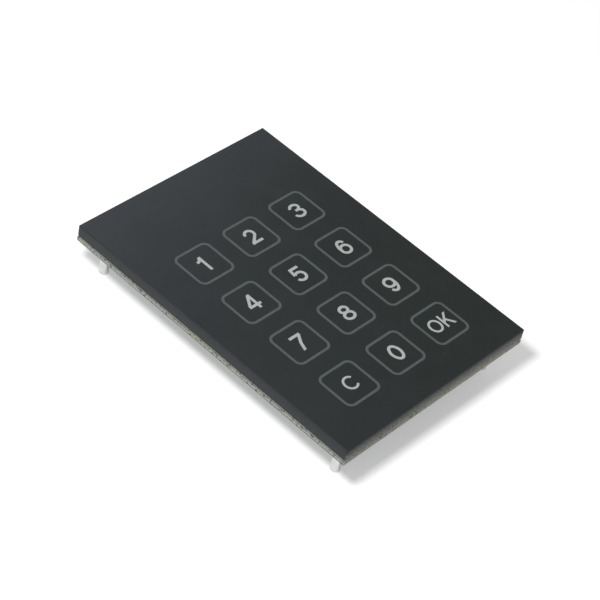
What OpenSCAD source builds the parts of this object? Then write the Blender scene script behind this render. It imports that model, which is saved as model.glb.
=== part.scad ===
// Capacitive touch keypad: a black front panel bonded to a circuit board that stands on four studs.
// Millimetres. X runs across the key columns, Y towards the blank upper end, Z out of the touched face.
// The origin lies under the middle of the panel, level with the stud tips.

/* [Front panel] */
// Width of the panel, across the key columns
panel_w = 60; // [56:0.5:80]
// Length of the panel, along the key rows
panel_l = 85; // [82:0.5:120]
// Thickness of the panel
panel_t = 3; // [1.5:0.1:6]
// Chamfer that breaks every edge of the panel
panel_edge = 0.2; // [0.1:0.05:0.5]

/* [Printed keys] */
// Distance between the centres of neighbouring keys
key_pitch = 15.2; // [13.5:0.1:16.5]
// Distance from the panel's upper edge to the centres of the first row
key_top = 26.1; // [24:0.1:30]
// Width of a key's outline, on the middle of its line
key_size = 10.1; // [8:0.1:12]
// Corner radius of a key's outline, on the middle of its line
key_corner = 1.6; // [0.8:0.1:3]
// Width of the outline's line
key_line = 0.65; // [0.2:0.05:0.9]
// Thickness of the ink
ink_t = 0.05; // [0.02:0.01:0.1]

/* [Adhesive sheet] */
// Thickness of the adhesive sheet
bond_t = 0.15; // [0.05:0.05:1]
// Distance from the panel's edge to the sheet's edge
bond_inset = 0.4; // [0.1:0.1:3]
// Corner radius of the sheet
bond_corner = 1; // [0.5:0.1:4]

/* [Circuit board] */
// Thickness of the board
board_t = 1.6; // [1.2:0.1:3.2]
// Depth of the score cuts along which the board was snapped out of its sheet
score_depth = 0.5; // [0.2:0.05:0.55]
// How far a score cut leans in from the board's edge
score_lean = 0.15; // [0.05:0.01:0.3]
// Side of a touch electrode
electrode_size = 10; // [7:0.1:12]
// Corner radius of a touch electrode
electrode_corner = 1.2; // [0.5:0.1:3]
// Thickness of the electrodes' copper, which lies flush in the board's face
copper_t = 0.07; // [0.03:0.01:0.2]

/* [Studs] */
// Distance from the panel's edges to a stud's axis, both ways
stud_inset = 5; // [4:0.1:7]
// Height of the board's back above the stud tips
stud_stand = 9; // [7.5:0.1:20]
// Diameter of a stud's shank
stud_d = 2.5; // [2:0.1:3.8]
// Chamfer at a stud's tip
stud_tip = 0.3; // [0.1:0.05:0.8]
// Diameter of the collar that seats on the board
collar_d = 4.5; // [4:0.1:6]
// Thickness of the collar
collar_h = 1; // [0.5:0.1:2]
// Diameter of the spigot that passes into the board
spigot_d = 2.2; // [1.2:0.1:3]
// Radial clearance between the spigot and its hole
spigot_fit = 0.05; // [0.02:0.01:0.2]
// How far the spigot stops short of the board's front face
spigot_short = 0.1; // [0.05:0.05:0.6]

/* [Touch controller] */
// Side of the square body
mcu_body = 10; // [9:0.1:12]
// Thickness of the body
mcu_h = 1; // [0.8:0.1:1.6]
// Air under the body
mcu_lift = 0.1; // [0.05:0.01:0.3]
// Taper of the body's sides above and below the leads
mcu_draft = 0.12; // [0.05:0.01:0.3]
// Distance between neighbouring leads
mcu_pitch = 0.8; // [0.5:0.05:0.9]
// Width of a lead
mcu_lead_w = 0.37; // [0.2:0.01:0.42]
// Thickness of a lead
mcu_lead_t = 0.15; // [0.1:0.01:0.2]
// How far the leads reach beyond the body
mcu_reach = 1; // [0.8:0.05:1.6]
// Straight length of a lead before its first bend
mcu_shoulder = 0.12; // [0.05:0.01:0.3]
// Diameter of the dimple that marks the first lead
mcu_dimple_d = 1.2; // [0.5:0.1:2]
// Depth of the dimple
mcu_dimple_depth = 0.1; // [0.05:0.01:0.2]
// Distance from the body's sides to the dimple's centre
mcu_dimple_inset = 1.5; // [1.2:0.1:3]

/* [Voltage regulator] */
// Width of the body, along its row of leads
reg_w = 6.5; // [6:0.1:7]
// Depth of the body
reg_d = 3.5; // [3:0.1:4]
// Thickness of the body
reg_h = 1.6; // [1.2:0.1:1.8]
// Air under the body
reg_lift = 0.05; // [0.02:0.01:0.2]
// Taper of the body's sides above and below the leads
reg_draft = 0.18; // [0.05:0.01:0.4]
// Distance between neighbouring leads
reg_pitch = 2.3; // [1.5:0.1:2.5]
// Width of a lead
reg_lead_w = 0.7; // [0.4:0.05:1]
// Width of the heat tab opposite the leads
reg_tab_w = 3; // [2:0.1:5]
// Thickness of the leads and the tab
reg_lead_t = 0.28; // [0.15:0.01:0.35]
// How far the leads and the tab reach beyond the body
reg_reach = 1.75; // [1.4:0.05:2.2]
// Straight length of a lead before its first bend
reg_shoulder = 0.35; // [0.1:0.05:0.5]

/* [Surge protector] */
// Width of the body, along its rows of leads
esd_w = 2.9; // [2.6:0.1:3.4]
// Depth of the body
esd_d = 1.6; // [1.3:0.1:2]
// Thickness of the body
esd_h = 1.1; // [0.8:0.1:1.3]
// Air under the body
esd_lift = 0.05; // [0.02:0.01:0.2]
// Taper of the body's sides above and below the leads
esd_draft = 0.1; // [0.05:0.01:0.2]
// Distance between neighbouring leads
esd_pitch = 0.95; // [0.6:0.05:1.05]
// Width of a lead
esd_lead_w = 0.4; // [0.2:0.05:0.5]
// Thickness of a lead
esd_lead_t = 0.15; // [0.1:0.01:0.2]
// How far the leads reach beyond the body
esd_reach = 0.65; // [0.55:0.05:0.9]
// Straight length of a lead before its first bend
esd_shoulder = 0.06; // [0.02:0.01:0.1]

/* [Supply capacitors] */
// Length over the terminals
tank_l = 3.5; // [3:0.1:4]
// Width of the body
tank_w = 2.8; // [2.4:0.1:3.2]
// Height above the board
tank_h = 1.9; // [1.5:0.1:2.5]
// Taper of the body's upper half
tank_draft = 0.12; // [0.05:0.01:0.3]
// Thickness of a terminal strap
strap_t = 0.12; // [0.08:0.01:0.2]
// Width of a terminal strap
strap_w = 2.2; // [1:0.1:2.3]
// Length of a strap under the body
strap_under = 0.8; // [0.4:0.1:1.2]
// Height of a strap on the body's end
strap_up = 0.8; // [0.5:0.05:0.9]

/* [Chip parts] */
// Length of a chip resistor or capacitor
chip_l = 1.6; // [1.4:0.1:1.8]
// Width of a chip
chip_w = 0.8; // [0.6:0.1:1]
// Height of a chip resistor
resistor_h = 0.45; // [0.35:0.05:0.6]
// Height of a chip capacitor
capacitor_h = 0.8; // [0.6:0.05:1]
// Length of the metal cap at each end of a chip
chip_cap = 0.3; // [0.2:0.05:0.5]
// How far the metal caps stand proud of the chip's body
chip_lip = 0.03; // [0.01:0.01:0.06]

/* [Connector] */
// Distance between neighbouring pins
pin_pitch = 2; // [1.5:0.05:2.1]
// Distance from the last pin to the housing's end
housing_end = 2.5; // [2:0.1:2.8]
// Depth of the housing
housing_d = 5; // [4.4:0.1:6]
// Height of the housing
housing_h = 6; // [5:0.1:7]
// Thickness of the shroud's walls
housing_wall = 0.7; // [0.5:0.05:0.9]
// Chamfer that leads the plug in at the shroud's rim
housing_lead_in = 0.25; // [0.1:0.05:0.3]
// Chamfer of the housing's outer upright edges
housing_edge = 0.2; // [0.1:0.05:0.4]
// Thickness of the housing's floor
housing_floor = 1.6; // [1:0.1:2]
// Width of a slot that keys the plug
slot_w = 1.2; // [0.8:0.1:2]
// Depth of a slot, from the shroud's rim
slot_depth = 3; // [1.5:0.1:3.3]
// Distance from the housing's end to a slot's middle
slot_inset = 4; // [3:0.1:6]
// Side of a pin's square post
pin_w = 0.5; // [0.4:0.05:0.64]
// Thickness of a pin's foot
pin_foot_t = 0.3; // [0.2:0.05:0.4]
// How far a pin's foot reaches beyond the housing
pin_foot = 1.5; // [0.8:0.1:2]
// How far a pin's tip stays inside the shroud's rim
pin_sunk = 1.2; // [0.6:0.1:2]
// Taper of a pin's tip
pin_taper = 0.15; // [0.05:0.01:0.18]
// Clearance round the metal in the housing
pin_fit = 0.02; // [0.01:0.01:0.05]
// Width of an anchor tab
anchor_w = 2; // [1.5:0.1:3]
// Thickness of an anchor tab
anchor_t = 0.3; // [0.2:0.05:0.35]
// Height of an anchor tab on the housing's end
anchor_up = 3; // [1.5:0.1:4]
// How far an anchor's foot reaches beyond the housing
anchor_foot = 0.8; // [0.5:0.1:1.2]

/* [Layout of the board's back] */
// Distance from the board's upper edge to the nearest parts
edge_gap = 2.5; // [1.5:0.1:4]
// Distance between the connector and the collar of the stud beside it
collar_gap = 1; // [0.5:0.1:2]
// Distance between neighbouring power parts
power_gap = 1.2; // [0.8:0.1:1.6]
// Distance between the controller's leads and the rows of chips
row_gap = 1.2; // [0.8:0.1:1.8]
// Distance between neighbouring chips in a row
chip_pitch = 1.9; // [1.4:0.05:2.1]
// Distance on each side of the chips between the controller and the connector
lane_gap = 1.6; // [1:0.1:1.8]
// Distance from the controller's middle to the chips beside it
lane_spread = 3.5; // [1.5:0.1:5]

/* [Hidden] */
$fn = 48;
key_columns = 3;
key_rows = 4;
leads_per_side = 11;
reg_leads = 3;
esd_leads = 3;
pin_count = 8;
// Slope of a gull-wing lead, and its bend radius in lead thicknesses
lead_slope = 80;
lead_bend = 0.8;
bend_steps = 3;
// Cutters run this far past the faces that they open
over = 0.01;

board_back = stud_stand;
board_front = board_back + board_t;
panel_back = board_front + bond_t;
panel_front = panel_back + panel_t;

key_count = key_columns * key_rows;
// Key centres, row by row from the upper left, in the order of the legends 1 to 9, C, 0 and OK
key_centres = [for (row = [0:key_rows - 1], col = [0:key_columns - 1])
    [(col - (key_columns - 1) / 2) * key_pitch, panel_l / 2 - key_top - row * key_pitch]];

stud_x = panel_w / 2 - stud_inset;
stud_y = panel_l / 2 - stud_inset;
studs = [
    ["upper_left_stud", [-stud_x, stud_y]],
    ["upper_right_stud", [stud_x, stud_y]],
    ["lower_left_stud", [-stud_x, -stud_y]],
    ["lower_right_stud", [stud_x, -stud_y]],
];

parts_top = panel_l / 2 - edge_gap;
housing_l = (pin_count - 1) * pin_pitch + 2 * housing_end;
housing_at = [
    stud_x - collar_d / 2 - collar_gap - anchor_foot - housing_l / 2,
    parts_top - housing_d / 2,
];
feet_y = housing_at.y - housing_d / 2 - pin_foot;

lane = chip_w + 2 * lane_gap;
mcu_span = mcu_body + 2 * mcu_reach;
mcu_at = [housing_at.x - housing_l / 2 - anchor_foot - lane - mcu_span / 2, parts_top - mcu_span / 2];

input_at = [housing_at.x + (housing_l - tank_w) / 2, feet_y - power_gap - reg_d / 2 - reg_reach];
reg_at = [input_at.x - (tank_w + reg_w) / 2 - power_gap, input_at.y];
output_at = [reg_at.x - (tank_w + reg_w) / 2 - power_gap, reg_at.y];
esd_at = [output_at.x - (tank_w + esd_w) / 2 - power_gap, feet_y - power_gap - esd_d / 2 - esd_reach];

row_start = mcu_at.x - (key_count - 1) / 2 * chip_pitch;
sampling_y = mcu_at.y - mcu_span / 2 - row_gap - chip_l / 2;
resistor_y = sampling_y - chip_l - row_gap;
decoupling = [for (side = [-1, 1], end = [-1, 1])
    mcu_at + [side * (mcu_span + lane) / 2, end * lane_spread]];

// Points of an arc, from one angle to another
function arc(centre, radius, from, to) = [for (i = [0:bend_steps])
    centre + radius * [cos(from + (to - from) * i / bend_steps), sin(from + (to - from) * i / bend_steps)]];

// Side view of a gull-wing lead: out of the body at exit height, down a steep slope, and along the board
function gull_wing(exit, reach, shoulder, thick) =
    let (
        bend = lead_bend * thick,
        inner = bend - thick / 2,
        outer = bend + thick / 2,
        drop = exit - thick / 2 - 2 * bend * (1 - cos(lead_slope)),
        first = [shoulder, exit - bend],
        second = [shoulder + 2 * bend * sin(lead_slope) + drop / tan(lead_slope), thick / 2 + bend]
    )
    concat(
        [[0, exit + thick / 2]],
        arc(first, outer, 90, 90 - lead_slope),
        arc(second, inner, 270 - lead_slope, 270),
        [[reach, thick], [reach, 0]],
        arc(second, outer, 270, 270 - lead_slope),
        arc(first, inner, 90 - lead_slope, 90),
        [[0, exit - thick / 2]]
    );

// Side outline of a block that is full size between two heights and drawn in above and below them
function belt_outline(size, height, belt, inset) = [
    [-size / 2 + inset, 0], [-size / 2, belt[0]], [-size / 2, belt[1]], [-size / 2 + inset, height],
    [size / 2 - inset, height], [size / 2, belt[1]], [size / 2, belt[0]], [size / 2 - inset, 0],
];

// Block whose four sides follow belt_outline, standing on the XY plane
module belted_block(size, belt, inset) {
    intersection() {
        rotate([90, 0, 0])
            linear_extrude(size.y, center = true)
                polygon(belt_outline(size.x, size.z, belt, inset));
        rotate([90, 0, 90])
            linear_extrude(size.x, center = true)
                polygon(belt_outline(size.y, size.z, belt, inset));
    }
}

module rounded_rectangle(width, length, radius) {
    square([width - 2 * radius, length], center = true);
    square([width, length - 2 * radius], center = true);
    for (x = [-1, 1], y = [-1, 1])
        translate([x * (width / 2 - radius), y * (length / 2 - radius)]) circle(radius);
}

// Places a part on the board's back, with the part's own Z pointing away from the board
module on_back(at, turn = 0) {
    translate([at.x, at.y, board_back]) rotate([180, 0, turn]) children();
}

module front_panel() {
    cut = panel_edge * sqrt(2);
    color("#2c3133")
        translate([0, 0, panel_back])
            difference() {
                belted_block([panel_w, panel_l, panel_t], [panel_edge, panel_t - panel_edge], panel_edge);
                for (x = [-1, 1], y = [-1, 1])
                    translate([x * panel_w / 2, y * panel_l / 2, panel_t / 2])
                        rotate(45) cube([cut, cut, panel_t + 2 * over], center = true);
            }
}

module key_outlines() {
    color("#7d8385")
        for (at = key_centres)
            translate([at.x, at.y, panel_front])
                linear_extrude(ink_t) difference() {
                    rounded_rectangle(key_size + key_line, key_size + key_line, key_corner + key_line / 2);
                    rounded_rectangle(key_size - key_line, key_size - key_line, key_corner - key_line / 2);
                }
}

module adhesive_sheet() {
    color("#8f9189")
        translate([0, 0, board_front])
            linear_extrude(bond_t)
                rounded_rectangle(panel_w - 2 * bond_inset, panel_l - 2 * bond_inset, bond_corner);
}

module electrode(height) {
    linear_extrude(height) rounded_rectangle(electrode_size, electrode_size, electrode_corner);
}

module touch_electrodes() {
    color("#b87a4b")
        for (at = key_centres)
            translate([at.x, at.y, board_front - copper_t]) electrode(copper_t);
}

module circuit_board() {
    color("#8e9163")
        difference() {
            translate([0, 0, board_back])
                belted_block([panel_w, panel_l, board_t], [score_depth, board_t - score_depth], score_lean);
            for (at = key_centres)
                translate([at.x, at.y, board_front - copper_t]) electrode(copper_t + over);
            for (stud = studs)
                translate([stud[1].x, stud[1].y, board_back - over])
                    cylinder(h = board_t + 2 * over, r = spigot_d / 2 + spigot_fit);
        }
}

// One stud: chamfered shank, collar that seats on the board, and spigot that is soldered into it
module stud(at) {
    shank = stud_d / 2;
    seat = board_back - collar_h;
    top = board_front - spigot_short;
    color("#c9cacc")
        translate([at.x, at.y, 0])
            rotate_extrude()
                polygon([
                    [0, 0], [shank - stud_tip, 0], [shank, stud_tip], [shank, seat], [collar_d / 2, seat],
                    [collar_d / 2, board_back], [spigot_d / 2, board_back], [spigot_d / 2, top], [0, top],
                ]);
}

// Row of gull-wing leads along X, pointing along +Y from a body's side
module lead_row(count, pitch, width, exit, reach, shoulder, thick) {
    for (i = [0:count - 1])
        translate([(i - (count - 1) / 2) * pitch, 0, 0])
            rotate([90, 0, 90])
                linear_extrude(width, center = true) polygon(gull_wing(exit, reach, shoulder, thick));
}

// Moulded body whose sides taper away from the plane of its leads
module moulded_body(size, lift, draft, lead_t) {
    middle = size.z / 2;
    translate([0, 0, lift])
        belted_block(size, [middle - lead_t / 2, middle + lead_t / 2], draft);
}

module controller_body() {
    corner = mcu_body / 2 - mcu_dimple_inset;
    color("#26282a")
        on_back(mcu_at)
            difference() {
                moulded_body([mcu_body, mcu_body, mcu_h], mcu_lift, mcu_draft, mcu_lead_t);
                translate([-corner, corner, mcu_lift + mcu_h - mcu_dimple_depth])
                    cylinder(h = mcu_dimple_depth + over, d = mcu_dimple_d);
            }
}

module controller_leads() {
    color("#b9bbbd")
        on_back(mcu_at)
            for (side = [0:3])
                rotate(90 * side)
                    translate([0, mcu_body / 2, 0])
                        lead_row(leads_per_side, mcu_pitch, mcu_lead_w, mcu_lift + mcu_h / 2,
                                 mcu_reach, mcu_shoulder, mcu_lead_t);
}

module regulator_body() {
    color("#26282a")
        on_back(reg_at) moulded_body([reg_w, reg_d, reg_h], reg_lift, reg_draft, reg_lead_t);
}

module regulator_leads() {
    exit = reg_lift + reg_h / 2;
    color("#b9bbbd")
        on_back(reg_at) {
            translate([0, reg_d / 2, 0])
                lead_row(reg_leads, reg_pitch, reg_lead_w, exit, reg_reach, reg_shoulder, reg_lead_t);
            rotate(180) translate([0, reg_d / 2, 0])
                lead_row(1, reg_pitch, reg_tab_w, exit, reg_reach, reg_shoulder, reg_lead_t);
        }
}

module protector_body() {
    color("#26282a")
        on_back(esd_at) moulded_body([esd_w, esd_d, esd_h], esd_lift, esd_draft, esd_lead_t);
}

module protector_leads() {
    color("#b9bbbd")
        on_back(esd_at)
            for (turn = [0, 180])
                rotate(turn) translate([0, esd_d / 2, 0])
                    lead_row(esd_leads, esd_pitch, esd_lead_w, esd_lift + esd_h / 2,
                             esd_reach, esd_shoulder, esd_lead_t);
}

// Moulded capacitor body between its two straps, straight where the straps touch it
module supply_capacitor_body(at) {
    size = [tank_w, tank_l - 2 * strap_t, tank_h - strap_t];
    color("#c58a2c")
        on_back(at) translate([0, 0, strap_t]) belted_block(size, [0, tank_h / 2 - strap_t], tank_draft);
}

module supply_capacitor_straps(at) {
    color("#b9bbbd")
        on_back(at)
            for (turn = [0, 180])
                rotate(turn)
                    rotate([90, 0, 90])
                        linear_extrude(strap_w, center = true)
                            polygon([
                                [tank_l / 2 - strap_under, 0], [tank_l / 2, 0],
                                [tank_l / 2, strap_t + strap_up], [tank_l / 2 - strap_t, strap_t + strap_up],
                                [tank_l / 2 - strap_t, strap_t], [tank_l / 2 - strap_under, strap_t],
                            ]);
}

// Chip part with its length along Y: a ceramic body between two slightly proud metal caps
module chip(height) {
    translate([0, 0, height / 2])
        cube([chip_w - 2 * chip_lip, chip_l - 2 * chip_lip, height - 2 * chip_lip], center = true);
    for (end = [-1, 1])
        translate([0, end * (chip_l - chip_cap) / 2, height / 2])
            cube([chip_w, chip_cap, height], center = true);
}

module sense_resistor(i) {
    color("#3a3a3c") on_back([row_start + i * chip_pitch, resistor_y]) chip(resistor_h);
}

module sampling_capacitor(i) {
    color("#a8875f") on_back([row_start + i * chip_pitch, sampling_y]) chip(capacitor_h);
}

module decoupling_capacitor(i) {
    color("#a8875f") on_back(decoupling[i]) chip(capacitor_h);
}

// Runs its children once at each pin's place along the connector
module at_pins() {
    for (i = [0:pin_count - 1])
        translate([(i - (pin_count - 1) / 2) * pin_pitch, 0, 0]) children();
}

// Square post and flat foot of one pin, grown by a clearance
module pin(grow = 0) {
    side = pin_w / 2 + grow;
    foot_end = housing_d / 2 + pin_foot;
    tip = housing_h - pin_sunk;
    rotate([90, 0, 90])
        linear_extrude(2 * side, center = true)
            polygon([
                [-side + pin_foot_t / 2, 0], [foot_end, 0], [foot_end, pin_foot_t + grow],
                [side, pin_foot_t + grow], [side, tip - pin_taper], [side - pin_taper, tip],
                [pin_taper - side, tip], [-side, tip - pin_taper], [-side, pin_foot_t / 2],
            ]);
}

// Anchor tab at the +X end of the housing, grown by a clearance
module anchor(grow = 0) {
    rotate([90, 0, 0])
        linear_extrude(anchor_w + 2 * grow, center = true)
            polygon([
                [housing_l / 2 - anchor_t - grow, 0], [housing_l / 2 + anchor_foot, 0],
                [housing_l / 2 + anchor_foot, anchor_t], [housing_l / 2, anchor_t],
                [housing_l / 2, anchor_up + grow], [housing_l / 2 - anchor_t - grow, anchor_up + grow],
            ]);
}

// Side outline of the shroud's cavity, which widens at the rim
function cavity_outline(size, height) = [
    [-size / 2, 0], [-size / 2, height - housing_lead_in], [-size / 2 - housing_lead_in, height],
    [-size / 2 - housing_lead_in, height + over], [size / 2 + housing_lead_in, height + over],
    [size / 2 + housing_lead_in, height], [size / 2, height - housing_lead_in], [size / 2, 0],
];

module housing_cavity() {
    height = housing_h - housing_floor;
    translate([0, 0, housing_floor])
        intersection() {
            rotate([90, 0, 0])
                linear_extrude(housing_d, center = true)
                    polygon(cavity_outline(housing_l - 2 * housing_wall, height));
            rotate([90, 0, 90])
                linear_extrude(housing_l, center = true)
                    polygon(cavity_outline(housing_d - 2 * housing_wall, height));
        }
}

module connector_housing() {
    cut = housing_edge * sqrt(2);
    color("#e6e2d3")
        on_back(housing_at)
            difference() {
                translate([-housing_l / 2, -housing_d / 2, 0]) cube([housing_l, housing_d, housing_h]);
                for (x = [-1, 1], y = [-1, 1])
                    translate([x * housing_l / 2, y * housing_d / 2, housing_h / 2])
                        rotate(45) cube([cut, cut, housing_h + 2 * over], center = true);
                housing_cavity();
                for (x = [-1, 1])
                    translate([x * (housing_l / 2 - slot_inset) - slot_w / 2, -housing_d / 2 - over,
                               housing_h - slot_depth])
                        cube([slot_w, housing_wall + 2 * over, slot_depth + over]);
                at_pins() pin(pin_fit);
                for (turn = [0, 180]) rotate(turn) anchor(pin_fit);
            }
}

module connector_pins() {
    color("#cfc9a8") on_back(housing_at) at_pins() pin();
}

module connector_anchors() {
    color("#b9bbbd") on_back(housing_at) for (turn = [0, 180]) rotate(turn) anchor();
}

front_panel();
key_outlines();
adhesive_sheet();
touch_electrodes();
circuit_board();
for (s = studs) stud(s[1]);
controller_body();
controller_leads();
regulator_body();
regulator_leads();
protector_body();
protector_leads();
connector_housing();
connector_pins();
connector_anchors();
supply_capacitor_body(input_at);  // input_capacitor_body
supply_capacitor_straps(input_at);  // input_capacitor_straps
supply_capacitor_body(output_at);  // output_capacitor_body
supply_capacitor_straps(output_at);  // output_capacitor_straps
for (i = [0:key_count - 1]) sense_resistor(i);
for (i = [0:key_count - 1]) sampling_capacitor(i);
for (i = [0:len(decoupling) - 1])
    decoupling_capacitor(i);
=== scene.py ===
"""Finishes, printed legends, copper, solder and studio of a capacitive touch keypad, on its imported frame.

Sizes are in millimetres and angles in degrees unless a name says otherwise; MM turns a size into metres.
The touched face looks along +Z, and the blank upper end of the panel lies towards +Y.
"""

import logging
import math
from dataclasses import dataclass
from enum import Enum
from typing import Any, Callable, ClassVar, Iterable, Sequence

import bmesh
import bpy
from bmesh.types import BMesh, BMFace, BMVert
from bpy.types import Material, Mesh, MeshPolygon, Node, NodeSocket, NodeTree, Object
from mathutils import Matrix, Vector


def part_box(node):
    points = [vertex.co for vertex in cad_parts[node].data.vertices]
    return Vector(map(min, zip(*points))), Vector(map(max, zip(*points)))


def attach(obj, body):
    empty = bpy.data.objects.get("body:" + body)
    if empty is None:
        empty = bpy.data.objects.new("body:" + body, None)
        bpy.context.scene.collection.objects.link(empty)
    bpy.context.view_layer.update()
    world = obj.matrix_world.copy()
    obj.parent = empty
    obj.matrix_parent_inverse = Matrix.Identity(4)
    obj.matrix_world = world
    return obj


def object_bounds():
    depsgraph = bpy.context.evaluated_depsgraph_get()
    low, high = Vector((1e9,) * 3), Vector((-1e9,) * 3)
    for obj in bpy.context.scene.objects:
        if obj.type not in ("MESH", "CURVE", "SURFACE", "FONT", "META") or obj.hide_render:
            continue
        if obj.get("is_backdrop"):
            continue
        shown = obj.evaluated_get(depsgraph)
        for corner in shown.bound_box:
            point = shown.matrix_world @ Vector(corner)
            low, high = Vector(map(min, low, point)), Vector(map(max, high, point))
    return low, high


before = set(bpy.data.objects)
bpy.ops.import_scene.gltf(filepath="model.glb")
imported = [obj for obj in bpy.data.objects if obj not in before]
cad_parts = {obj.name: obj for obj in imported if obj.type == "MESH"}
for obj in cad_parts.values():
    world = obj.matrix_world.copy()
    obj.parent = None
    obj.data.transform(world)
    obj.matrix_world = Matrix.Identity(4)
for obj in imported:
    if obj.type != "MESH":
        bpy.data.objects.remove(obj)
cad_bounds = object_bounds()

log = logging.getLogger("keypad")

MM = 0.001
BODY = "root"

# Sockets of a colour Mix node, which share their names with its other kinds
MIX_FACTOR, MIX_A, MIX_B, MIX_COLOUR = 0, 6, 7, 2
# A Wave texture of scale 1 repeats after this length
WAVE_PERIOD = math.pi / 10
# Points closer than this are one
MERGE = 0.0005
# A face is level where its normal's Z is above the first, and upright where it is below the second
LEVEL, UPRIGHT = 0.9, 0.1
# Length of the tinned end of a chip resistor or capacitor
CAP_LENGTH = 0.3

Pair = tuple[float, float]
Triple = tuple[float, float, float]
Colour = tuple[float, float, float, float]
Limits = tuple[float, float, float, float]
Layers = list[tuple[NodeSocket, str]]
Routed = tuple[list[BMesh], list[Vector]]


def linear(hex_colour: str) -> Colour:
    """Turn a written colour into the linear light that shaders work in.

    Args:
        hex_colour: An sRGB colour such as "#1d2421".

    Returns:
        Red, green, blue and a full alpha.
    """
    parts = [int(hex_colour[i:i + 2], 16) / 255 for i in (1, 3, 5)]
    red, green, blue = (p / 12.92 if p <= 0.04045 else ((p + 0.055) / 1.055) ** 2.4 for p in parts)
    return red, green, blue, 1.0


def per_metre(size: float) -> float:
    """Scale at which a texture on coordinates in metres has features of a size in millimetres."""
    return 1 / (size * MM)


def empty_tree(owner: Any) -> NodeTree:
    """Turn on the nodes of a material, lamp or world, and clear its tree.

    Args:
        owner: The material, lamp or world.

    Returns:
        The empty tree.
    """
    owner.use_nodes = True
    owner.node_tree.nodes.clear()
    return owner.node_tree


def add_node(tree: NodeTree, kind: str, inputs: dict[str | int, Any] | None = None, **settings: Any) -> Node:
    """Add a node with its settings, its plain input values and its links.

    Args:
        tree: The tree that gets the node.
        kind: The node's type name.
        inputs: For each input's name or index, a value or the output socket that feeds it.
        **settings: The node's own properties.

    Returns:
        The new node.
    """
    node = tree.nodes.new(kind)
    for name, value in settings.items():
        setattr(node, name, value)
    for key, value in (inputs or {}).items():
        if isinstance(value, NodeSocket):
            tree.links.new(value, node.inputs[key])
        else:
            node.inputs[key].default_value = value
    return node


def patches(
    tree: NodeTree, place: NodeSocket, size: float, rise: Pair, shares: Pair = (0.0, 1.0), **noise: float
) -> NodeSocket:
    """Spread soft-edged patches over a surface.

    Args:
        tree: The tree that gets the nodes.
        place: Coordinates of the surface.
        size: Size of a patch.
        rise: Heights of the noise at which a patch begins, and at which it is whole.
        shares: What comes out between the patches, and in them.
        **noise: Detail and Roughness of the noise, where they aren't 2 and 0.5.

    Returns:
        The share of the patches at each place.
    """
    fac = add_node(tree, "ShaderNodeTexNoise", {
        "Vector": place, "Scale": per_metre(size), "Detail": 2.0, **noise}).outputs["Fac"]
    return add_node(tree, "ShaderNodeMapRange", {
        "Value": fac, "From Min": rise[0], "From Max": rise[1], "To Min": shares[0], "To Max": shares[1],
    }).outputs["Result"]


@dataclass(frozen=True)
class Finish:
    """One real finish: its colour and shine, and the fine pattern that its making leaves.

    The first colour drifts to the second in soft clouds, and the roughness drifts between its limits with
    them. The grain has a spacing and a depth.
    """

    name: str
    slot: str
    colours: tuple[str, str]
    cloud: float
    roughness: Pair
    grain: Pair
    ior: float = 1.5
    metallic: float = 0.0
    subsurface: float = 0.0

    def material(self) -> Material:
        """Build the finish's material the first time, and hand out the same one after that.

        Returns:
            The material.
        """
        found = bpy.data.materials.get(self.name)
        if found:
            return found
        material = bpy.data.materials.new(self.name)
        tree = empty_tree(material)
        place = add_node(tree, "ShaderNodeTexCoord").outputs["Object"]
        bump = add_node(tree, "ShaderNodeBump", {
            "Height": self.relief(tree, place), "Distance": self.grain[1] * MM})
        shine = add_node(tree, "ShaderNodeMapRange", {
            "Value": self.clouds(tree, place), "To Min": self.roughness[0], "To Max": self.roughness[1]})
        shader = add_node(tree, "ShaderNodeBsdfPrincipled", {
            "Base Color": self.tint(tree, place), "Roughness": shine.outputs["Result"],
            "Normal": bump.outputs["Normal"], "Metallic": self.metallic})
        if not self.metallic:
            shader.inputs["IOR"].default_value = self.ior
        if self.subsurface:
            shader.inputs["Subsurface Weight"].default_value = self.subsurface
            shader.inputs["Subsurface Scale"].default_value = MM
        add_node(tree, "ShaderNodeOutputMaterial", {"Surface": shader.outputs["BSDF"]})
        return material

    def clouds(self, tree: NodeTree, place: NodeSocket) -> NodeSocket:
        """Share of the clouds at each place."""
        return patches(tree, place, self.cloud, rise=(0.3, 0.7), Detail=3.0, Roughness=0.6)

    def tint(self, tree: NodeTree, place: NodeSocket) -> Any:
        """Lay the finish's layers over its first colour.

        Args:
            tree: The material's tree.
            place: Coordinates of the surface.

        Returns:
            The colour of each place.
        """
        colour: Any = linear(self.colours[0])
        for share, over in self.layers(tree, place):
            colour = add_node(tree, "ShaderNodeMix", {
                MIX_FACTOR: share, MIX_A: colour, MIX_B: linear(over)}, data_type="RGBA").outputs[MIX_COLOUR]
        return colour

    def layers(self, tree: NodeTree, place: NodeSocket) -> Layers:
        """Share and colour of what lies over the first colour, from the lowest layer up."""
        return [(self.clouds(tree, place), self.colours[1])]

    def relief(self, tree: NodeTree, place: NodeSocket) -> NodeSocket:
        """Height of the grain."""
        return add_node(tree, "ShaderNodeTexNoise", {
            "Vector": place, "Scale": per_metre(self.grain[0]), "Detail": 2.0}).outputs["Fac"]


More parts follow.
